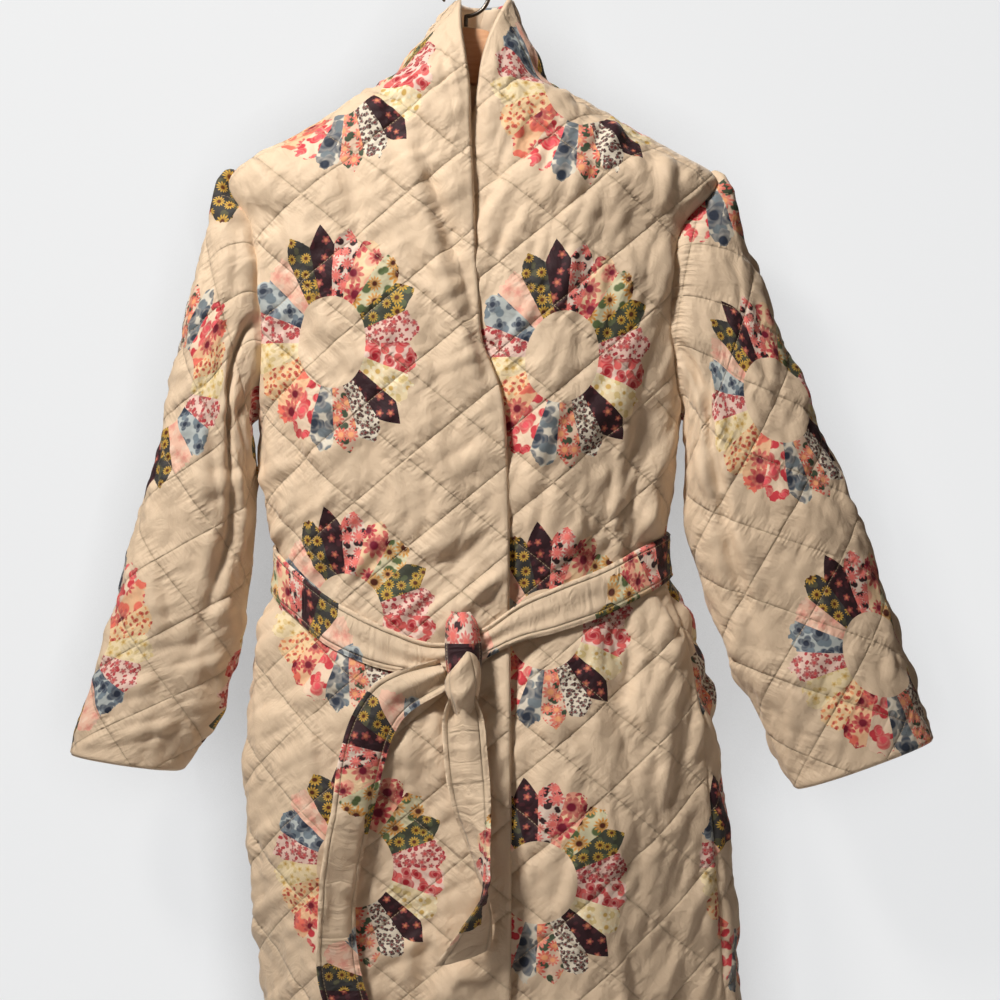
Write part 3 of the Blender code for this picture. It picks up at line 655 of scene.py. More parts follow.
scaled = add(tree, "ShaderNodeVectorMath", scaling, operation="SCALE").outputs[0]
point_count = maths(tree, "ROUND", maths(tree, "MULTIPLY", points, POINTS_UNIT))
petals, hearts, near, brush, chance = blossom(tree, scaled, point_count, fill, 3.1)
leaves = blossom(tree, scaled, 2.0, maths(tree, "MULTIPLY", fill, 0.75), 17.7)[0]
wash = noise(tree, spot, 90.0, 4.0, Roughness=0.7)
tinted = mix(tree, maths(tree, "MULTIPLY", wash, 0.25), ground, leaf)
strewn = mix(tree, leaves, tinted, leaf)
tone = mix(tree, maths(tree, "MULTIPLY", near, 0.55), flower, heart)
tone = mix(tree, maths(tree, "MULTIPLY", brush, 0.36), tone, ground)
tone = mix(tree, maths(tree, "MULTIPLY", chance, 0.2), tone, ground)
strewn = mix(tree, petals, strewn, tone)
strewn = mix(tree, hearts, strewn, heart)
tree.links.new(strewn, result["Colour"])
tree.links.new(mask, result["Mask"])

# The stitching: how deep the thread pulls the cloth along the diamonds, which also sets the painted shade in
# the grooves, and where the thread shows
GROOVE_MM, THREAD_MM = 1.3, 0.42
STITCHES_PER_SIDE, STITCH_SHARE = 19.0, 0.66


def quilt_lines(tree, spot):
    """For both ways of the stitching: the line's number, millimetres off it and the run along it."""
    parts = add(tree, "ShaderNodeSeparateXYZ", {0: spot}).outputs
    u_share = maths(tree, "DIVIDE", parts[0], QUILT_WIDE * MM)
    v_share = maths(tree, "DIVIDE", parts[1], QUILT_HIGH * MM)
    pitch = 1 / math.hypot(1 / QUILT_WIDE, 1 / QUILT_HIGH)
    lines = []
    for along_sum, across_sum in (("ADD", "SUBTRACT"), ("SUBTRACT", "ADD")):
        line = maths(tree, along_sum, u_share, v_share)
        off = maths(tree, "MULTIPLY", maths(tree, "PINGPONG", line, 0.5), pitch)
        lines.append((line, off, maths(tree, across_sum, u_share, v_share)))
    return lines


stitching, spot, result = node_group("Diamond stitching", Depth="Float", Thread="Float")
tree = stitching
depths, threads = [], []
for _, off, run in quilt_lines(tree, spot):
    depths.append(maths(tree, "EXPONENT", maths(tree, "DIVIDE", off, -GROOVE_MM)))
    in_stitch = maths(tree, "FRACT", maths(tree, "MULTIPLY", run, STITCHES_PER_SIDE))
    dash = maths(tree, "LESS_THAN", in_stitch, STITCH_SHARE)
    threads.append(maths(tree, "MULTIPLY", maths(tree, "LESS_THAN", off, THREAD_MM), dash))
tree.links.new(maths(tree, "MAXIMUM", *depths), result["Depth"])
tree.links.new(maths(tree, "MAXIMUM", *threads), result["Thread"])

# The fine creases: puckers square to the stitching, soft streaks down the cloth and a light crumple
PUCKERS_PER_SIDE, PUCKER_REACH_MM = 8.5, 9.0
creases, spot, result = node_group("Fine creases", Height="Float")
tree = creases
pulls = []
for line, off, run in quilt_lines(tree, spot):
    lane = maths(tree, "MULTIPLY_ADD", maths(tree, "ROUND", line), 7.3, maths(tree, "MULTIPLY", off, 0.035))
    in_lane = {0: maths(tree, "MULTIPLY", run, PUCKERS_PER_SIDE), 1: lane}
    wave = noise(tree, add(tree, "ShaderNodeCombineXYZ", in_lane).outputs[0], 1.0, 2.0, "2D")
    reach = maths(tree, "EXPONENT", maths(tree, "DIVIDE", off, -PUCKER_REACH_MM))
    pulls.append(maths(tree, "MULTIPLY", maths(tree, "SUBTRACT", wave, 0.5), reach))
streaky = add(tree, "ShaderNodeMapping", {"Vector": spot, "Scale": (46.0, 20.0, 1.0)}).outputs[0]
streak = noise(tree, streaky, 1.0, 3.0, "2D", Distortion=0.6)
crumple = noise(tree, spot, 48.0, 3.0, "2D", Distortion=1.0)
ridges = maths(tree, "ABSOLUTE", maths(tree, "SUBTRACT", crumple, 0.5))
height = maths(tree, "MULTIPLY", maths(tree, "ADD", *pulls), 4.2)
height = maths(tree, "MULTIPLY_ADD", streak, 2.2, height)
height = maths(tree, "MULTIPLY_ADD", ridges, 1.3, height)
tree.links.new(height, result["Height"])

# The weave: fine warp and weft with slubs, as a height and a light tint
weave, spot, result = node_group("Cotton weave", Height="Float", Tint="Float")
tree = weave
bands = {"Vector": spot, "Scale": 560.0, "Distortion": 1.5, "Detail": 1.0}
warp, weft = (add(tree, "ShaderNodeTexWave", bands, bands_direction=way).outputs["Fac"] for way in "XY")
fine = maths(tree, "MULTIPLY", maths(tree, "ADD", warp, weft), 0.06)
slub = maths(tree, "MULTIPLY", noise(tree, spot, 420.0, 2.0), 0.5)
crumple = maths(tree, "MULTIPLY", noise(tree, spot, 75.0, 4.0, Roughness=0.6), 0.5)
tree.links.new(maths(tree, "ADD", fine, crumple), result["Height"])
tree.links.new(maths(tree, "ADD", slub, crumple), result["Tint"])


def group_node(tree, group, place_on):
    """A shader group placed in a material: its outputs."""
    made = tree.nodes.new("ShaderNodeGroup")
    made.node_tree = group
    tree.links.new(place_on, made.inputs["Place"])
    return made.outputs


def printed_cotton(name):
    """A material of cream cotton with the plate print: its parts, its cut map, its colour and its weave."""
    made, tree, shader = shader_material(name)
    cut = add(tree, "ShaderNodeUVMap", uv_map="cut").outputs[0]
    on_print = add(tree, "ShaderNodeUVMap", uv_map="print").outputs[0]
    threads = group_node(tree, weave, cut)
    plates = group_node(tree, plate_print, on_print)
    cream = mix(tree, threads["Tint"], linear(221, 195, 166), linear(232, 209, 181))
    colour = mix(tree, plates["Mask"], cream, plates["Colour"])
    set_sockets(shader, {"Roughness": 0.62, "Specular IOR Level": 0.3})
    set_sockets(shader, {"Sheen Weight": 0.18, "Sheen Roughness": 0.4})
    return made, tree, shader, cut, colour, threads["Height"]


quilted_cotton, tree, shader, cut, colour, height = printed_cotton("quilted_cotton_print")
seams = group_node(tree, stitching, cut)
# Painted shade: the stitch grooves are painted darker brown by their depth, as if shade fell in them
colour = mix(tree, maths(tree, "MULTIPLY", seams["Depth"], 0.22), colour, linear(112, 84, 60))
colour = mix(tree, maths(tree, "MULTIPLY", seams["Thread"], 0.5), colour, linear(206, 184, 150))
height = maths(tree, "ADD", height, group_node(tree, creases, cut)["Height"])
height = maths(tree, "SUBTRACT", height, maths(tree, "MULTIPLY", seams["Depth"], 1.2))
cover(tree, shader, colour, height, 0.0008)

lining, tree, shader = shader_material("plain_lining")
cut = add(tree, "ShaderNodeUVMap", uv_map="cut").outputs[0]
threads = group_node(tree, weave, cut)
colour = mix(tree, threads["Tint"], linear(222, 198, 170), linear(234, 213, 187))
cover(tree, shader, colour, threads["Height"], 0.0008, strength=0.3)
set_sockets(shader, {"Roughness": 0.7})


def cloth_object(name, outer, inner, cut, on_print, bulge, materials, cells=None, closed=False):
    """A cloth shell between an outer and an inner grid, its edges rolled over by bulge, with its two maps."""
    rows, columns = outer.shape[:2]
    spans = columns if closed else columns - 1
    cells = np.ones((rows - 1, spans), bool) if cells is None else cells
    row, column = np.nonzero(cells)

    def cell_corners(width, nxt):
        """The four corners of each cell on a grid of one width."""
        low, high = row * width, (row + 1) * width
        return np.stack([low + column, low + nxt, high + nxt, high + column], axis=1)

    corners = cell_corners(columns, (column + 1) % columns)
    map_corners = cell_corners(cut.shape[1], column + 1)
    starts, ends = corners, np.roll(corners, -1, axis=1)
    count = rows * columns
    forward = (starts.astype(np.int64) * count + ends).ravel()
    backward = (ends.astype(np.int64) * count + starts).ravel()
    lone = ~np.isin(forward, backward)
    rim_start, rim_end = starts.ravel()[lone], ends.ravel()[lone]
    rim_map = np.stack([map_corners.ravel()[lone], np.roll(map_corners, -1, axis=1).ravel()[lone]], axis=1)
    flat_outer, flat_inner = outer.reshape(-1, 3), inner.reshape(-1, 3)
    used = np.unique(corners)
    rim_vertices = np.unique(np.concatenate([rim_start, rim_end]))
    through = unit(flat_outer - flat_inner)
    outward = np.zeros_like(flat_outer)
    edge_way = unit(flat_outer[rim_end] - flat_outer[rim_start])
    side_way = np.cross(edge_way, through[rim_start])
    np.add.at(outward, rim_start, side_way)
    np.add.at(outward, rim_end, side_way)
    rolled = (flat_outer + flat_inner) / 2 + unit(outward) * bulge.reshape(-1, 1)
    index = np.full(count, -1)
    index[used] = np.arange(len(used))
    rim_index = np.full(count, -1)
    rim_index[rim_vertices] = 2 * len(used) + np.arange(len(rim_vertices))
    points = np.concatenate([flat_outer[used], flat_inner[used], rolled[rim_vertices]]) * MM
    inside = index + len(used)
    faces = np.concatenate([
        index[corners],
        inside[corners[:, ::-1]],
        np.stack([index[rim_end], index[rim_start], rim_index[rim_start], rim_index[rim_end]], axis=1),
        np.stack([rim_index[rim_end], rim_index[rim_start], inside[rim_start], inside[rim_end]], axis=1),
    ])
    rim_loops = np.stack([rim_map[:, 1], rim_map[:, 0], rim_map[:, 0], rim_map[:, 1]], axis=1)
    loops = np.concatenate([map_corners, map_corners[:, ::-1], rim_loops, rim_loops])
    data = bpy.data.meshes.new(name)
    data.vertices.add(len(points))
    data.vertices.foreach_set("co", points.ravel())
    data.loops.add(faces.size)
    data.loops.foreach_set("vertex_index", faces.ravel())
    data.polygons.add(len(faces))
    data.polygons.foreach_set("loop_start", np.arange(0, faces.size, 4))
    slots = np.zeros(len(faces), int)
    slots[len(corners) : 2 * len(corners)] = 1
    data.polygons.foreach_set("material_index", slots)
    data.update(calc_edges=True)
    for label, flat in (("cut", cut), ("print", on_print)):
        layer = data.uv_layers.new(name=label)
        layer.uv.foreach_set("vector", (flat.reshape(-1, 2)[loops.ravel()] * MM).ravel())
    data.validate()
    data.shade_smooth()
    for material in materials:
        data.materials.append(material)
    made = bpy.data.objects.new(name, data)
    bpy.context.scene.collection.objects.link(made)
    return made


def surface_normals(grid, closed=False):
    """Normals of a grid of points, along the turn from its columns to its rows."""
    if closed:
        around = np.roll(grid, -1, axis=1) - np.roll(grid, 1, axis=1)
    else:
        around = np.gradient(grid, axis=1)
    return unit(np.cross(around, np.gradient(grid, axis=0)))


def under_lap(points, angle):
    """How far the under front is pushed in where the over front lies on it."""
    over = smooth_columns(FRONT_EDGES, points[..., 2])[0]
    return -LAP_DEPTH * ease((over + LAP_RUN - points[..., 0]) / LAP_RUN) * ease(2 * np.cos(angle))


def edge_distance(points, *edges):
    """How far along its row or column each point of a panel lies from the edges named."""
    across, along = run_lengths(points, axis=1), run_lengths(points)
    reach = {
        "first_column": across,
        "last_column": across[:, -1:] - across,
        "first_row": along,
        "last_row": along[-1:] - along,
    }
    return np.minimum.reduce([reach[edge] for edge in edges])


SEAM_PRESS, SEAM_GROOVE, HEM_PRESS, HEM_LEFT = 7, 2.5, 16, 0.35
ARMHOLE_PRESS, ARMHOLE_FOOT, ARMHOLE_FADE = 21, -300, 70
SHOULDER_END, SHOULDER_FADE = -125, 15
SKIRT_THIN, CHEST_FOOT, CHEST_FADE = 1.5, -290, 90
EDGE_ROLL, SEAM_ROLL, AT_EDGE, LINING_GAP = 2.6, 1.6, 0.5, 2.0
FAR_OFF = 1e6


def two_faces(form, normals, height):
    """The outer face of a panel at a height off its form, and its lining below it."""
    lining_height = np.minimum(-LINING_DEPTH, height - LINING_GAP)
    return form + normals * height[..., None], form + normals * lining_height[..., None]


def free_press(free):
    """How much of the wadding's height is left near a turned hem."""
    return HEM_LEFT + (1 - HEM_LEFT) * ease(free / HEM_PRESS)


def padded_faces(form, height, heights, seam, free, held):
    """The outer and inner faces of a quilted panel, and the roll of its rim.

    The wadding is drawn flat beside seams, more so round the armhole, and at free edges and the belt.
    """
    at_armhole = ease((heights - ARMHOLE_FOOT) / ARMHOLE_FADE)
    at_armhole = at_armhole * (1 - ease((heights - SHOULDER_END) / SHOULDER_FADE))
    flatten = ease(seam / (SEAM_PRESS + ARMHOLE_PRESS * at_armhole)) * free_press(free) * held
    thinner = SKIRT_THIN * ease((CHEST_FOOT - heights) / CHEST_FADE)
    height = (height - thinner) * flatten - np.exp(-((seam / SEAM_GROOVE) ** 2))
    outer, inner = two_faces(form, surface_normals(form), height)
    bulge = np.where(free < AT_EDGE, EDGE_ROLL, np.where(seam < AT_EDGE, SEAM_ROLL, 0.0))
    return outer, inner, bulge


FRONT_STEP, COLLAR_STEP = 3.0, 3.2
FRONT_SPAN, COLLAR_SPAN = 300, 112.0
LEAN_DEPTH, SKIRT_STRETCH_AT = -400, -200
SKIRT_STRETCH, CHEST_STRETCH = 0.11, -0.04
WAIST_Z, WAIST_FADE = -640, 160


def make_front(name, node, wearer_right, quilt_at, print_at, print_lean, seed, chest_lean):
    """A front with its collar half: its grid on the body's rings, quilted, with its edges drawn flat."""
    z = body_levels(FRONT_STEP, COLLAR_TOP_Z)
    neck_row = np.searchsorted(z, NECK_Z - 1e-6)
    collar_columns, panel_columns = round(COLLAR_SPAN / COLLAR_STEP), round(FRONT_SPAN / FRONT_STEP)
    angle = []
    for level in z:
        over, under = smooth_columns(FRONT_EDGES, level)
        edge = float(ring_angle(over if wearer_right else under, level))
        side = side_angle(level, wearer_right, ARMHOLE_FRONT_DEG)
        centre_back = -math.pi if wearer_right else math.pi
        collar = even_angles(centre_back, side, level, collar_columns + 1)
        angle.append(np.concatenate([collar[:-1], even_angles(side, edge, level, panel_columns + 1)]))
    angle = np.array(angle)
    if not wearer_right:
        angle = angle[:, ::-1]
    heights = np.repeat(z[:, None], angle.shape[1], axis=1)
    base, normals = ring_points(angle, heights), ring_normals(angle, heights)
    lift = fold_height(base, angle) + (0.0 if wearer_right else under_lap(base, angle))
    form = base + normals * lift[..., None]
    side_column = collar_columns if wearer_right else panel_columns
    panel = slice(side_column, None) if wearer_right else slice(0, side_column + 1)
    collar_part = slice(0, side_column + 1) if wearer_right else slice(side_column, None)
    ends = ["first_column", "last_column"]
    side_edge, free_edge = ends if wearer_right else ends[::-1]
    seam = np.full(angle.shape, FAR_OFF)
    seam[: neck_row + 1, panel] = edge_distance(form[: neck_row + 1, panel], side_edge)
    at_collar = edge_distance(form[neck_row:, collar_part], side_edge, "first_row")
    seam[neck_row:, collar_part] = np.minimum(seam[neck_row:, collar_part], at_collar)
    free = np.full(angle.shape, FAR_OFF)
    free[:, panel] = edge_distance(form[:, panel], free_edge, "first_row")
    free = np.minimum(free, edge_distance(form, "last_row"))
    cut_u, cut_v = cut_lengths(form, angle, z)
    cut_v[neck_row:, collar_part] = cut_v[neck_row:, side_column : side_column + 1]
    quilt_u, quilt_v = cut_u - quilt_at[0], cut_v - quilt_at[1]
    lean = chest_lean * ease((heights - WAIST_Z) / WAIST_FADE)
    height = quilt_height(quilt_u, quilt_v, seed, lean, gathers(base, angle))
    outer, inner, bulge = padded_faces(form, height, heights, seam, free, under_belt(base, angle))
    cells = np.ones((len(z) - 1, angle.shape[1] - 1), bool)
    cells[:neck_row, slice(0, side_column) if wearer_right else slice(side_column, None)] = False
    cut = np.stack([quilt_u, quilt_v], axis=-1)
    print_v = cut_v - print_at[1]
    lean_low, lean_high = print_lean
    leaning = np.where(print_v < 0, lean_low * np.maximum(print_v, LEAN_DEPTH), lean_high * print_v)
    print_u = cut_u - print_at[0] + leaning
    below = SKIRT_STRETCH * np.minimum(0, print_v - SKIRT_STRETCH_AT)
    print_v = print_v + below + CHEST_STRETCH * np.maximum(0, print_v)
    on_print = np.stack([print_u, print_v], axis=-1)
    made = cloth_object(name, outer, inner, cut, on_print, bulge, [quilted_cotton, lining], cells)
    place(made, node, "quilted_cotton")
    return made


front_right = make_front(
    "front_right_cloth",
    "front_right",
    wearer_right=True,
    quilt_at=(-103.0, -258.0),
    print_at=(-127.0, -356.0),
    print_lean=(0.065, -0.055),
    seed=1,
    chest_lean=0.45,
)

# The wearer's left front, the same cloth cut in one with its collar half. It hangs from the shoulder
# seam and the centre-back collar seam, and its free edge lies flat under the right front.

front_left = make_front(
    "front_left_cloth",
    "front_left",
    wearer_right=False,
    quilt_at=(82.0, -240.0),
    print_at=(90.0, -370.0),
    print_lean=(-0.057, -0.075),
    seed=2,
    chest_lean=-0.2,
)

# The back: one width of the quilted cotton from side seam to side seam, up to the neck seam.
# It is sewn to the fronts at the sides and shoulders and to the collar at the neck.

BACK_STEP, BACK_SPAN = 4.0, 500
BACK_PRINT_U, BACK_PRINT_V = 13.0, 358.0
z = body_levels(BACK_STEP, NECK_Z)
angle = []
for level in z:
    start = side_angle(level, False, -ARMHOLE_BACK_DEG)
    end = side_angle(level, True, -ARMHOLE_BACK_DEG) + 2 * math.pi
    angle.append(even_angles(start, end, level, round(BACK_SPAN / BACK_STEP) + 1))
angle = np.array(angle)
heights = np.repeat(z[:, None], angle.shape[1], axis=1)
base, normals = ring_points(angle, heights), ring_normals(angle, heights)
form = base + normals * fold_height(base, angle)[..., None]
seam = edge_distance(form, "first_column", "last_column", "last_row")
free = edge_distance(form, "first_row")
cut_u = run_lengths(base, axis=1)
cut_u = cut_u - cut_u[:, -1:] / 2
_, cut_v = cut_lengths(form, angle, z)
height = quilt_height(cut_u, cut_v, 3, drape=gathers(base, angle))
outer, inner, bulge = padded_faces(form, height, heights, seam, free, under_belt(base, angle))
cut = np.stack([cut_u, cut_v], axis=-1)
on_print = cut + [BACK_PRINT_U, BACK_PRINT_V]
back = cloth_object("back_cloth", outer, inner, cut, on_print, bulge, [quilted_cotton, lining])
place(back, "back", "quilted_cotton")

# The sleeves: two tubes of the same quilted cotton, set into the armholes, hanging open at the cuff.
# Each has one seam under the arm; the cuff's hem is turned and stitched.

SleeveRing = namedtuple("SleeveRing", "outer_x outer_z inner_x inner_z half_depth middle_y")
RIGHT_SLEEVE = [
    SleeveRing(-247, -255, -200, -452, 38, -3),
    SleeveRing(-264, -331, -199, -478, 42, -3),
    SleeveRing(-281, -405, -198, -503, 43, -3),
    SleeveRing(-300, -478, -199, -532, 43, -2),
    SleeveRing(-320, -545, -204, -580, 42, -1),
    SleeveRing(-338, -622, -217, -652, 40, 0),
    SleeveRing(-357, -685, -240, -706, 38, 1),
    SleeveRing(-376, -740, -268, -757, 36, 2),
]
LEFT_SLEEVE = [
    SleeveRing(262, -252, 208, -448, 38, -3),
    SleeveRing(290, -325, 207, -475, 42, -3),
    SleeveRing(318, -393, 206, -503, 42, -4),
    SleeveRing(347, -462, 212, -545, 41, -5),
    SleeveRing(376, -530, 229, -597, 40, -6),
    SleeveRing(402, -605, 253, -657, 38, -6),
    SleeveRing(424, -672, 284, -722, 36, -6),
    SleeveRing(443, -726, 311, -774, 34, -6),
]
SLEEVE_POWER = 2.15
SLEEVE_ROWS, SLEEVE_SIDES = 190, 120
SLEEVE_PUFF, SLEEVE_THIN, SLEEVE_LEAN, CUFF_ROLL = 2.4, 1.0, 0.3, 2.4
LOOP_OFF, TUCK_DEPTH, TUCK_IN = 0.4, 3.5, 5.0
CREASE_DEPTH, CREASE_WIDTH = 6.5, 5.5
CREASE_SWAY, CREASE_WAVE = 7, 55
CREASE_START, CREASE_END, CREASE_FADE = 30, 230, 150
RIDGE_RISE, RIDGE_OFF, RIDGE_WIDTH = 3.0, 13, 8
HEAD_RISE, HEAD_TURN, HEAD_LEAN = 4.5, 1.1, math.radians(20.5)


def make_sleeve(
    name, node, wearer_right, rings, quilt_at, print_at, head_at, turned, print_lean, crease_u, seed
):
    """A sleeve from the armhole's loop to the cuff, quilted and creased."""
    turn = np.linspace(0, 2 * math.pi, SLEEVE_SIDES, endpoint=False)
    middle, half = (UNDERARM_Z + SHOULDER_Z) / 2, (SHOULDER_Z - UNDERARM_Z) / 2
    level = middle + half * np.cos(turn)
    inset = np.where(turn <= math.pi, ARMHOLE_FRONT_DEG, -ARMHOLE_BACK_DEG)
    angle = np.array([side_angle(h, wearer_right, i) for h, i in zip(level, inset)])
    normals = ring_normals(angle, level)
    loop = ring_points(angle, level) + normals * LOOP_OFF
    inward = unit(np.array([0.0, 0.0, middle]) - loop)
    tucked = loop - normals * TUCK_DEPTH + inward * TUCK_IN
    reach = signed_power(np.cos(turn), 2 / SLEEVE_POWER)[:, None]
    depth = signed_power(np.sin(turn), 2 / SLEEVE_POWER)[:, None]
    lines = [tucked, loop]
    for row in rings:
        outside = np.array([row.outer_x, row.middle_y, row.outer_z])
        inside = np.array([row.inner_x, row.middle_y, row.inner_z])
        forward = np.array([0.0, -row.half_depth, 0.0])
        lines.append((outside + inside) / 2 + reach * (outside - inside) / 2 + depth * forward)
    lines = np.array(lines)
    steps = np.linalg.norm(np.diff(lines, axis=0), axis=2).mean(axis=1)
    length = np.concatenate([[0.0], np.cumsum(steps)])
    at = np.linspace(0, length[-1], SLEEVE_ROWS + 1)
    down_sleeve = []
    for side in range(SLEEVE_SIDES):
        rows = [(place_down, *point) for place_down, point in zip(length, lines[:, side])]
        down_sleeve.append(smooth_columns(rows, at).T)
    form = np.stack(down_sleeve, axis=1)
    closed = np.concatenate([form, form[:, :1]], axis=1)
    cut_u = run_lengths(closed, axis=1)
    quarter = SLEEVE_SIDES // 4
    cut_u = cut_u - cut_u[:, quarter : quarter + 1]
    cut_v = -run_lengths(closed)
    cut_v = cut_v - cut_v[-1:] - at[-1]
    flip = 1 if wearer_right else -1
    quilt_u, quilt_v = flip * cut_u - quilt_at[0], cut_v - quilt_at[1]
    height = quilt_height(quilt_u[:, :-1], quilt_v[:, :-1], seed, SLEEVE_LEAN, puff=SLEEVE_PUFF) - SLEEVE_THIN
    aside = flip * cut_u[:, :-1] - crease_u - CREASE_SWAY * np.sin(at[:, None] / CREASE_WAVE + seed)
    stretch = ease(at[:, None] / CREASE_START) * (1 - ease((at[:, None] - CREASE_END) / CREASE_FADE))
    ridges = RIDGE_RISE * np.exp(-(((np.abs(aside) - RIDGE_OFF) / RIDGE_WIDTH) ** 2))
    height = height + stretch * (ridges - CREASE_DEPTH * np.exp(-((aside / CREASE_WIDTH) ** 2)))
    under_seam = np.abs(cut_u[:, :-1] - cut_u[:, 2 * quarter : 2 * quarter + 1])
    seam = np.minimum(at[:, None], under_seam)
    free = at[-1] - at[:, None] + 0 * height
    height = height * ease(seam / SEAM_PRESS) * free_press(free) - np.exp(-((seam / SEAM_GROOVE) ** 2))
    full_head = ease((at[:, None] - 5) / 12) * (1 - ease((at[:, None] - 22) / 50))
    height = height + HEAD_RISE * full_head * (0.5 + 0.5 * np.cos(turn - HEAD_TURN)) ** 2
    normals = surface_normals(form, closed=True)
    outward = form - form.mean(axis=1, keepdims=True)
    facing = np.sign((normals * outward).sum(axis=-1).mean())
    outer, inner = two_faces(form, normals * facing, height)
    bulge = np.where(free < AT_EDGE, CUFF_ROLL, 0.0)
    cut = np.stack([quilt_u, quilt_v], axis=-1)
    print_v = turned * (cut_v - print_at[1])
    print_u = turned * (flip * cut_u - print_at[0]) + print_lean * print_v
    off_x, off_z = closed[..., 0] - head_at[0], closed[..., 2] - head_at[1]
    head_u = off_x * math.cos(HEAD_LEAN) - flip * off_z * math.sin(HEAD_LEAN)
    head_v = off_z * math.cos(HEAD_LEAN) + flip * off_x * math.sin(HEAD_LEAN)
    plate_step = PLATE_STEP_V / MM
    at_head = cut_v - print_at[1] > plate_step / 2
    print_u = np.where(at_head, turned * head_u, print_u)
    print_v = np.where(at_head, turned * (plate_step + head_v), print_v)
    on_print = np.stack([print_u, print_v], axis=-1)
    if facing < 0:
        outer, inner, bulge = outer[:, ::-1], inner[:, ::-1], bulge[:, ::-1]
        cut, on_print = cut[:, ::-1], on_print[:, ::-1]
        outer, inner, bulge = (np.roll(grid, 1, axis=1) for grid in (outer, inner, bulge))
    made = cloth_object(name, outer, inner, cut, on_print, bulge, [quilted_cotton, lining], closed=True)
    place(made, node, "quilted_cotton")
    return made


sleeve_right = make_sleeve(
    "sleeve_right_cloth",
    "sleeve_right",
    wearer_right=True,
    rings=RIGHT_SLEEVE,
    quilt_at=(20.0, -150.0),
    print_at=(-74.0, -113.0),
    head_at=(-229.0, -144.0),
    turned=-1,
    print_lean=-0.09,
    crease_u=30.0,
    seed=4,
)
sleeve_left = make_sleeve(
    "sleeve_left_cloth",
    "sleeve_left",
    wearer_right=False,
    rings=LEFT_SLEEVE,
    quilt_at=(0.0, -90.0),
    print_at=(46.0, -134.0),
    head_at=(221.0, -165.0),
    turned=1,
    print_lean=0.02,
    crease_u=-46.0,
    seed=5,
)

# The belt round the waist: a doubled strip of the printed cotton, lightly padded, with a stitched
# edge like a thin piping. It lies on the coat, held by its knot, and narrows where it is drawn in.

BELT_HALF, BELT_CLEAR, BELT_WALL = 21.0, 2.4, 4.0
EDGE_STITCH, EDGE_GROOVE, EDGE_THREAD = 5.0, 0.8, 0.4
EDGE_STITCHES_PER_M, EDGE_STITCH_SHARE = 330.0, 0.68
RING_MIDDLE = 64.0
RIGHT_TURN_AT, LEFT_TURN_AT, PRINT_JOIN = 160.0, 192.0, 0.615
BELT_NARROWING, NARROW_REACH, DRAWN_REACH = 7.0, 55, 90

edge_stitching, spot, result = node_group("Edge stitching", Depth="Float", Thread="Float")
tree = edge_stitching
parts = add(tree, "ShaderNodeSeparateXYZ", {0: spot}).outputs
off = maths(tree, "ABSOLUTE", maths(tree, "SUBTRACT", parts[1], EDGE_STITCH * MM))
in_stitch = maths(tree, "FRACT", maths(tree, "MULTIPLY", parts[0], EDGE_STITCHES_PER_M))
dash = maths(tree, "LESS_THAN", in_stitch, EDGE_STITCH_SHARE)
near = maths(tree, "LESS_THAN", off, EDGE_THREAD * MM)
tree.links.new(maths(tree, "EXPONENT", maths(tree, "DIVIDE", off, -EDGE_GROOVE * MM)), result["Depth"])
tree.links.new(maths(tree, "MULTIPLY", near, dash), result["Thread"])

belt_cotton, tree, shader, cut, colour, height = printed_cotton("belt_cotton_print")
edge = group_node(tree, edge_stitching, cut)
# Painted shade: the groove of the edge stitching is painted darker by its depth
colour = mix(tree, maths(tree, "MULTIPLY", edge["Depth"], 0.3), colour, linear(132, 104, 78))
colour = mix(tree, maths(tree, "MULTIPLY", edge["Thread"], 0.5), colour, linear(212, 192, 160))
crosswise = add(tree, "ShaderNodeMapping", {"Vector": cut, "Scale": (72.0, 34.0, 1.0)}).outputs[0]
wrinkle = noise(tree, crosswise, 1.0, 3.0, "2D", Distortion=0.8)
height = maths(tree, "SUBTRACT", height, maths(tree, "MULTIPLY", edge["Depth"], 1.2))
cover(tree, shader, colour, maths(tree, "MULTIPLY_ADD", wrinkle, 3.2, height), 0.001)


def strip_profile(share, half):
    """Rise of a padded strip over its width, with the ridge outside its edge stitching."""
    to_edge = (1 - np.abs(share)) * half
    crown = np.sqrt(np.clip(1 - np.abs(share) ** 7, 0, 1))
    return crown - 0.28 * np.exp(-(((to_edge - EDGE_STITCH) / 1.4) ** 2))


def belt_maps(run, share, half, turn_at, reverse, ring_at=RING_MIDDLE):
    """The two maps of a strip: its run and the way to its edge, and its place on the printed ring."""
    across = share * half
    cut = np.stack([run + 0 * across, half * (1 - np.abs(share))], axis=-1)
    along = (turn_at - run if reverse else run - turn_at) + 0 * across
    return cut, np.stack([along, ring_at + across], axis=-1)


def belt_piece(name, node, outer, inner, cut, on_print):
    """A piece of the doubled belt strip, with printed cotton on both faces."""
    bulge = np.zeros(outer.shape[:2])
    made = cloth_object(name, outer, inner, cut, on_print, bulge, [belt_cotton, belt_cotton])
    place(made, node, "belt_cotton")
    return made


start, end = (math.radians(BELT_LINE[k].angle_deg) for k in (-1, 0))
round_waist = even_angles(start, end, BELT_LINE[len(BELT_LINE) // 2].z, 361)
run = run_lengths(ring_points(round_waist, belt_height(round_waist)))
from_knot = np.minimum(run, run[-1] - run)
half = BELT_HALF - BELT_NARROWING * np.exp(-((from_knot / NARROW_REACH) ** 2))
share = np.linspace(-1, 1, 21)[:, None]
z = belt_height(round_waist)[None, :] + share * half[None, :]
angle = np.repeat(round_waist[None, :], len(share), axis=0)
drawn = np.exp(-from_knot / DRAWN_REACH)[None, :]
pleat = 1.9 * drawn * np.sin(share * 6.5 + 0.6 * np.sin(run / 21)[None, :])
pleat = pleat + 0.6 * soft_noise(run[None, :] / 17, share * 2.2, 21)
flatness = 1 - np.abs(share) ** 4
rise = BELT_WALL * strip_profile(share, half[None, :]) + flatness * pleat
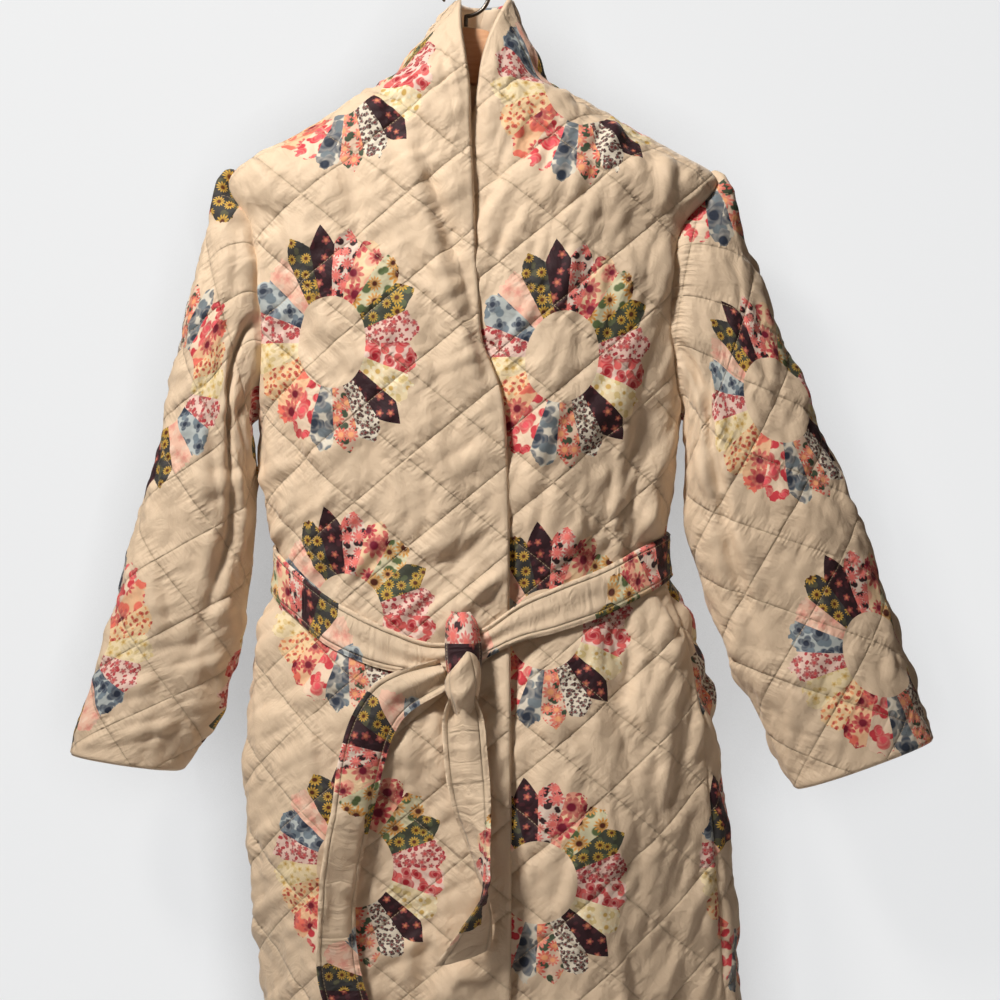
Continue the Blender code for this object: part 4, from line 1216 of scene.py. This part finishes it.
base, normals = ring_points(angle, z), ring_normals(angle, z)
lift = fold_height(base, angle)
outer = base + normals * (lift + BELT_CLEAR + rise)[..., None]
inner = base + normals * (lift + BELT_CLEAR - 0.6 * (1 - np.abs(share) ** 6))[..., None]
cut, print_right = belt_maps(run[None, :], share, half[None, :], RIGHT_TURN_AT, reverse=False)
_, print_left = belt_maps((run[-1] - run)[None, :], share, half[None, :], LEFT_TURN_AT, reverse=True)
print_left = print_left + [2 * PLATE_STEP_U / MM, 0.0]
on_print = np.where((run < PRINT_JOIN * run[-1])[None, :, None], print_right, print_left)
flipped = (grid[:, ::-1] for grid in (outer, inner, cut, on_print))
belt = belt_piece("belt_waist_strip", "belt_waist", *flipped)

# The belt's tails: the free ends of the same strip, hanging from the knot with soft folds along them.
# The wearer's right end is long; the left one is shorter and ends in a slanted hem.

TailPoint = namedtuple("TailPoint", "x z stand_off half_width turn_deg")
RIGHT_TAIL = [
    TailPoint(-17.5, -660, 12, 14, 8),
    TailPoint(-60, -680, 14, 20, 14),
    TailPoint(-80, -705, 14, 21, 12),
    TailPoint(-91, -740, 14, 21, 16),
    TailPoint(-98, -785, 15, 20, 30),
    TailPoint(-106, -830, 16, 20, 42),
    TailPoint(-110, -880, 16, 19, 44),
    TailPoint(-108, -930, 16, 20, 32),
    TailPoint(-97, -975, 15, 20, 12),
    TailPoint(-80, -1024, 15, 21, 0),
]
LEFT_TAIL = [
    TailPoint(-1, -681, 20, 12, 0),
    TailPoint(-1, -706, 17, 19, -6),
    TailPoint(3, -752, 17, 20, -12),
    TailPoint(9, -792, 18, 20, -38),
    TailPoint(16, -830, 19, 19, -62),
    TailPoint(18, -860, 20, 19, -90),
    TailPoint(11, -888, 20, 20, -128),
    TailPoint(0, -916, 19, 22, -155),
]


def make_tail(name, node, rows, turn_at, reverse, ring_at, folds, slant, seed):
    """A hanging end of the belt: a soft strip in front of the coat, with folds along it."""
    fall = np.linspace(0, len(rows) - 1, 130)
    x, z, stand_off, half, turn = smooth_columns([(k, *row) for k, row in enumerate(rows)], fall)
    angle = ring_angle(x, z)
    base, normals = ring_points(angle, z), ring_normals(angle, z)
    surface = base + normals * fold_height(base, angle)[:, None]
    middle = surface + normals * stand_off[:, None]
    along = unit(np.gradient(middle, axis=0))
    flat_way = unit(np.cross(along, normals))
    turn = np.radians(turn)[:, None]
    across = flat_way * np.cos(turn) + normals * np.sin(turn)
    face = unit(np.cross(across, along))
    run = run_lengths(middle)
    share = np.linspace(-1, 1, 21)[None, :]
    down = (run / run[-1])[:, None]
    gathered = np.exp(-run / 60)[:, None]
    ripple = folds * (0.35 + gathered) * np.sin(share * (2.6 + 3.4 * gathered) + 2.2 * down + seed)
    ripple = ripple + 1.9 * soft_noise(share * 1.6, run[:, None] / 24, seed + 30)
    ripple = ripple + 0.9 * fold_noise(run[:, None] / 11 + 0.7 * share, share * 0.8, seed + 31)
    rise = 0.5 * BELT_WALL * strip_profile(share, half[:, None])
    slide = slant * share * ease((down - 0.75) / 0.25)
    grid = middle[:, None] + across[:, None] * (half[:, None] * share)[..., None]
    grid = grid + along[:, None] * slide[..., None]
    outer = grid + face[:, None] * (rise + ripple)[..., None]
    inner = grid + face[:, None] * (ripple - rise)[..., None]
    cut, on_print = belt_maps(run[:, None], share, half[:, None], turn_at, reverse, ring_at)
    made = belt_piece(name, node, outer, inner, cut, on_print)


make_tail(
    "belt_tail_right_strip",
    "belt_tail_right",
    RIGHT_TAIL,
    turn_at=106.0,
    reverse=False,
    ring_at=RING_MIDDLE,
    folds=3.0,
    slant=0.0,
    seed=1.0,
)
make_tail(
    "belt_tail_left_strip",
    "belt_tail_left",
    LEFT_TAIL,
    turn_at=168.0,
    reverse=True,
    ring_at=92.0,
    folds=3.4,
    slant=-16.0,
    seed=2.0,
)

# The knot: one end of the belt brought up and over the other. The wrapped turn shows the print; below
# it the short end comes out under a folded lip.

KnotRing = namedtuple("KnotRing", "z x half_width depth")
KNOT = [
    KnotRing(-604, -3, 8, 12),
    KnotRing(-611, -3, 13, 20),
    KnotRing(-625, -2, 16, 28),
    KnotRing(-642, -1, 17, 30),
    KnotRing(-660, -1, 15, 28),
    KnotRing(-676, -1, 11, 20),
]


def knot_front(x, z):
    """The coat's front at places in front of the waist."""
    angle = ring_angle(x, z)
    base = ring_points(angle, z)
    return (base + ring_normals(angle, z) * fold_height(base, angle)[..., None])[..., 1]


def knot_piece(name, face, wall, cut, on_print):
    """A fold of the knot: its face towards the front, and its back a wall behind it."""
    facing = surface_normals(face)
    facing = facing * np.sign(-facing[..., 1].mean())
    grids = (face, face - facing * wall, cut, on_print)
    return belt_piece(name, "belt_knot", *(grid[::-1] for grid in grids))


KNOT_BACK, KNOT_WALL = 8.0, 2.6
fall = np.linspace(KNOT[0].z, KNOT[-1].z, 60)
middle, half, depth = smooth_columns(KNOT, fall)
share = np.linspace(-1, 1, 33)[None, :]
across = np.sin(share * math.pi / 2)
arch = np.cos(share * math.pi / 2) ** 0.8
pleat = 1.4 * np.sin(4.5 * share + 0.05 * fall[:, None]) * arch
pleat = pleat + 0.7 * soft_noise(share * 3, fall[:, None] / 9, 8)
x = middle[:, None] + across * half[:, None]
z = fall[:, None] + 0 * x
y = knot_front(x, z) - KNOT_BACK - (depth[:, None] - KNOT_BACK) * arch - pleat
face = np.stack([x, y, z], axis=-1)
run = (fall[0] - fall)[:, None]
cut = np.stack([run + 0 * x, half[:, None] * (1 - np.abs(share))], axis=-1)
on_print = np.stack([16.0 - 0.55 * run + 0 * x, RING_MIDDLE + 4 + across * half[:, None]], axis=-1)
knot = knot_piece("belt_knot_wrap", face, KNOT_WALL, cut, on_print)

LipRow = namedtuple("LipRow", "place left_x left_z right_x right_z forward")
LIP = [
    LipRow(0, -16, -661, 7, -633, 33),
    LipRow(1, -18, -667, 12, -643, 38),
    LipRow(2, -17, -676, 15, -657, 36),
    LipRow(3, -13, -686, 14, -673, 29),
    LipRow(4, -10, -694, 11, -688, 20),
]
LIP_BACK, LIP_WALL, LIP_SAG = 12.0, 2.8, 7
down = np.linspace(LIP[0].place, LIP[-1].place, 56)
left_x, left_z, right_x, right_z, forward = smooth_columns(LIP, down)
share = np.linspace(0, 1, 33)[None, :]
x = left_x[:, None] + (right_x - left_x)[:, None] * share
z = left_z[:, None] + (right_z - left_z)[:, None] * share
z = z - LIP_SAG * np.sin(math.pi * share) * ease(down / 2)[:, None]
curl = 3.2 * np.sin(down * 3.3)[:, None] * np.sin(math.pi * share) * np.exp(-down / 3)[:, None]
arch = np.sin(math.pi * share) ** 0.6
y = knot_front(x, z) - LIP_BACK - (forward[:, None] - LIP_BACK) * (0.35 + 0.65 * arch) - curl
face = np.stack([x, y, z], axis=-1)
run = 9.0 * down[:, None]
cut = np.stack([run + 0 * x, 17 * (1 - np.abs(2 * share - 1)) + 0 * x], axis=-1)
on_print = np.stack([run - 18.0 + 0 * x, 24 * share - 12 + 0 * x], axis=-1)
lip = knot_piece("belt_knot_lip", face, LIP_WALL, cut, on_print)

# The room: a pale floor under the hanging coat and the camera square to its front. The main lamp, above
# the camera's left, is narrowed so that its light falls off down the skirt; a weak one stands at the
# right and another lights the back.

floor_finish, tree, shader = shader_material("pale_floor")
where = add(tree, "ShaderNodeTexCoord").outputs["Object"]
mottle = noise(tree, where, 3.0, 3.0)
tree.links.new(mix(tree, mottle, linear(228, 228, 228), linear(236, 236, 236)), shader.inputs["Base Color"])
set_sockets(shader, {"Roughness": 0.9})
FLOOR_Z, FLOOR_REACH = -1420.0, 2200.0
signs = ((-1, -1), (1, -1), (1, 1), (-1, 1))
corners = [(FLOOR_REACH * x_sign, FLOOR_REACH * y_sign, FLOOR_Z) for x_sign, y_sign in signs]
floor = mesh_object("floor", corners, [(0, 1, 2, 3)], floor_finish)

# A pale sheet of card behind the coat: it glows an even pale grey, painted darker as a soft painted shadow
# where the coat is close, and also takes the lamps' real shadow; from behind it can't be seen
card_finish, tree, shader = shader_material("pale_card")
where = add(tree, "ShaderNodeTexCoord").outputs["Object"]
mottle = noise(tree, where, 2.0, 2.0)
tree.links.new(mix(tree, mottle, linear(88, 88, 88), linear(90, 90, 90)), shader.inputs["Base Color"])
# Painted shadow: the card's glow is darkened where the coat stands close in front of it
close = add(tree, "ShaderNodeAmbientOcclusion", {"Distance": 0.11}, samples=8).outputs["AO"]
shade = mix(tree, ranged(tree, close, 0.25, 0.95), linear(150, 149, 148), linear(226, 227, 228))
tree.links.new(shade, shader.inputs["Emission Color"])
set_sockets(shader, {"Emission Strength": 1.0, "Roughness": 0.95, "Specular IOR Level": 0.1})
behind = add(tree, "ShaderNodeNewGeometry").outputs["Backfacing"]
tree.links.new(maths(tree, "SUBTRACT", 1.0, behind), shader.inputs["Alpha"])
CARD_Y, CARD_REACH, CARD_TOP = 108.0, 1500, 900
across_card = ((-CARD_REACH, FLOOR_Z), (CARD_REACH, FLOOR_Z), (CARD_REACH, CARD_TOP), (-CARD_REACH, CARD_TOP))
corners = [(x_at, CARD_Y, z_at) for x_at, z_at in across_card]
card = mesh_object("card", corners, [(0, 1, 2, 3)], card_finish)
card.visible_diffuse = card.visible_glossy = card.visible_shadow = card.visible_transmission = False

scene = bpy.context.scene
world = bpy.data.worlds.new("studio")
world.use_nodes = True
scene.world = world
sky = world.node_tree.nodes["Background"]
seen = add(world.node_tree, "ShaderNodeLightPath").outputs["Is Camera Ray"]
backdrop = mix(world.node_tree, seen, linear(60, 48, 39), linear(236, 236, 237))
world.node_tree.links.new(backdrop, sky.inputs["Color"])
scene.view_settings.view_transform = "Standard"


def lamp(name, kind, spot, aim, power, colour):
    """A lamp of one kind at a spot, pointed at another."""
    data = bpy.data.lights.new(name, kind)
    data.energy, data.color = power, colour
    made = bpy.data.objects.new(name, data)
    made.location = spot
    made.rotation_euler = (Vector(aim) - Vector(spot)).to_track_quat("-Z", "Y").to_euler()
    scene.collection.objects.link(made)
    return data


key = lamp("key", "AREA", (-1.3, -1.5, 1.5), (0.03, 0.0, -0.44), 16.0, (1.0, 0.97, 0.92))
key.size, key.spread = 0.45, math.radians(75)
lamp("fill", "AREA", (0.9, -1.8, 0.3), (0.2, 0.0, -0.5), 2.0, (1.0, 0.93, 0.84)).size = 1.4
lamp("rear", "AREA", (0.6, 2.2, 1.0), (0.0, 0.0, -0.55), 24.0, (1.0, 0.97, 0.94)).size = 1.2

FRAME_WIDTH, CAMERA_DISTANCE, SENSOR_WIDTH = 0.95, 2.4, 36.0
camera_data = bpy.data.cameras.new("camera")
camera_data.sensor_width = SENSOR_WIDTH
camera_data.lens = SENSOR_WIDTH * CAMERA_DISTANCE / FRAME_WIDTH
camera = bpy.data.objects.new("camera", camera_data)
camera.location = (0.0323, -CAMERA_DISTANCE, -0.5016)
camera.rotation_euler = (math.radians(90), 0.0, 0.0)
scene.collection.objects.link(camera)
scene.camera = camera
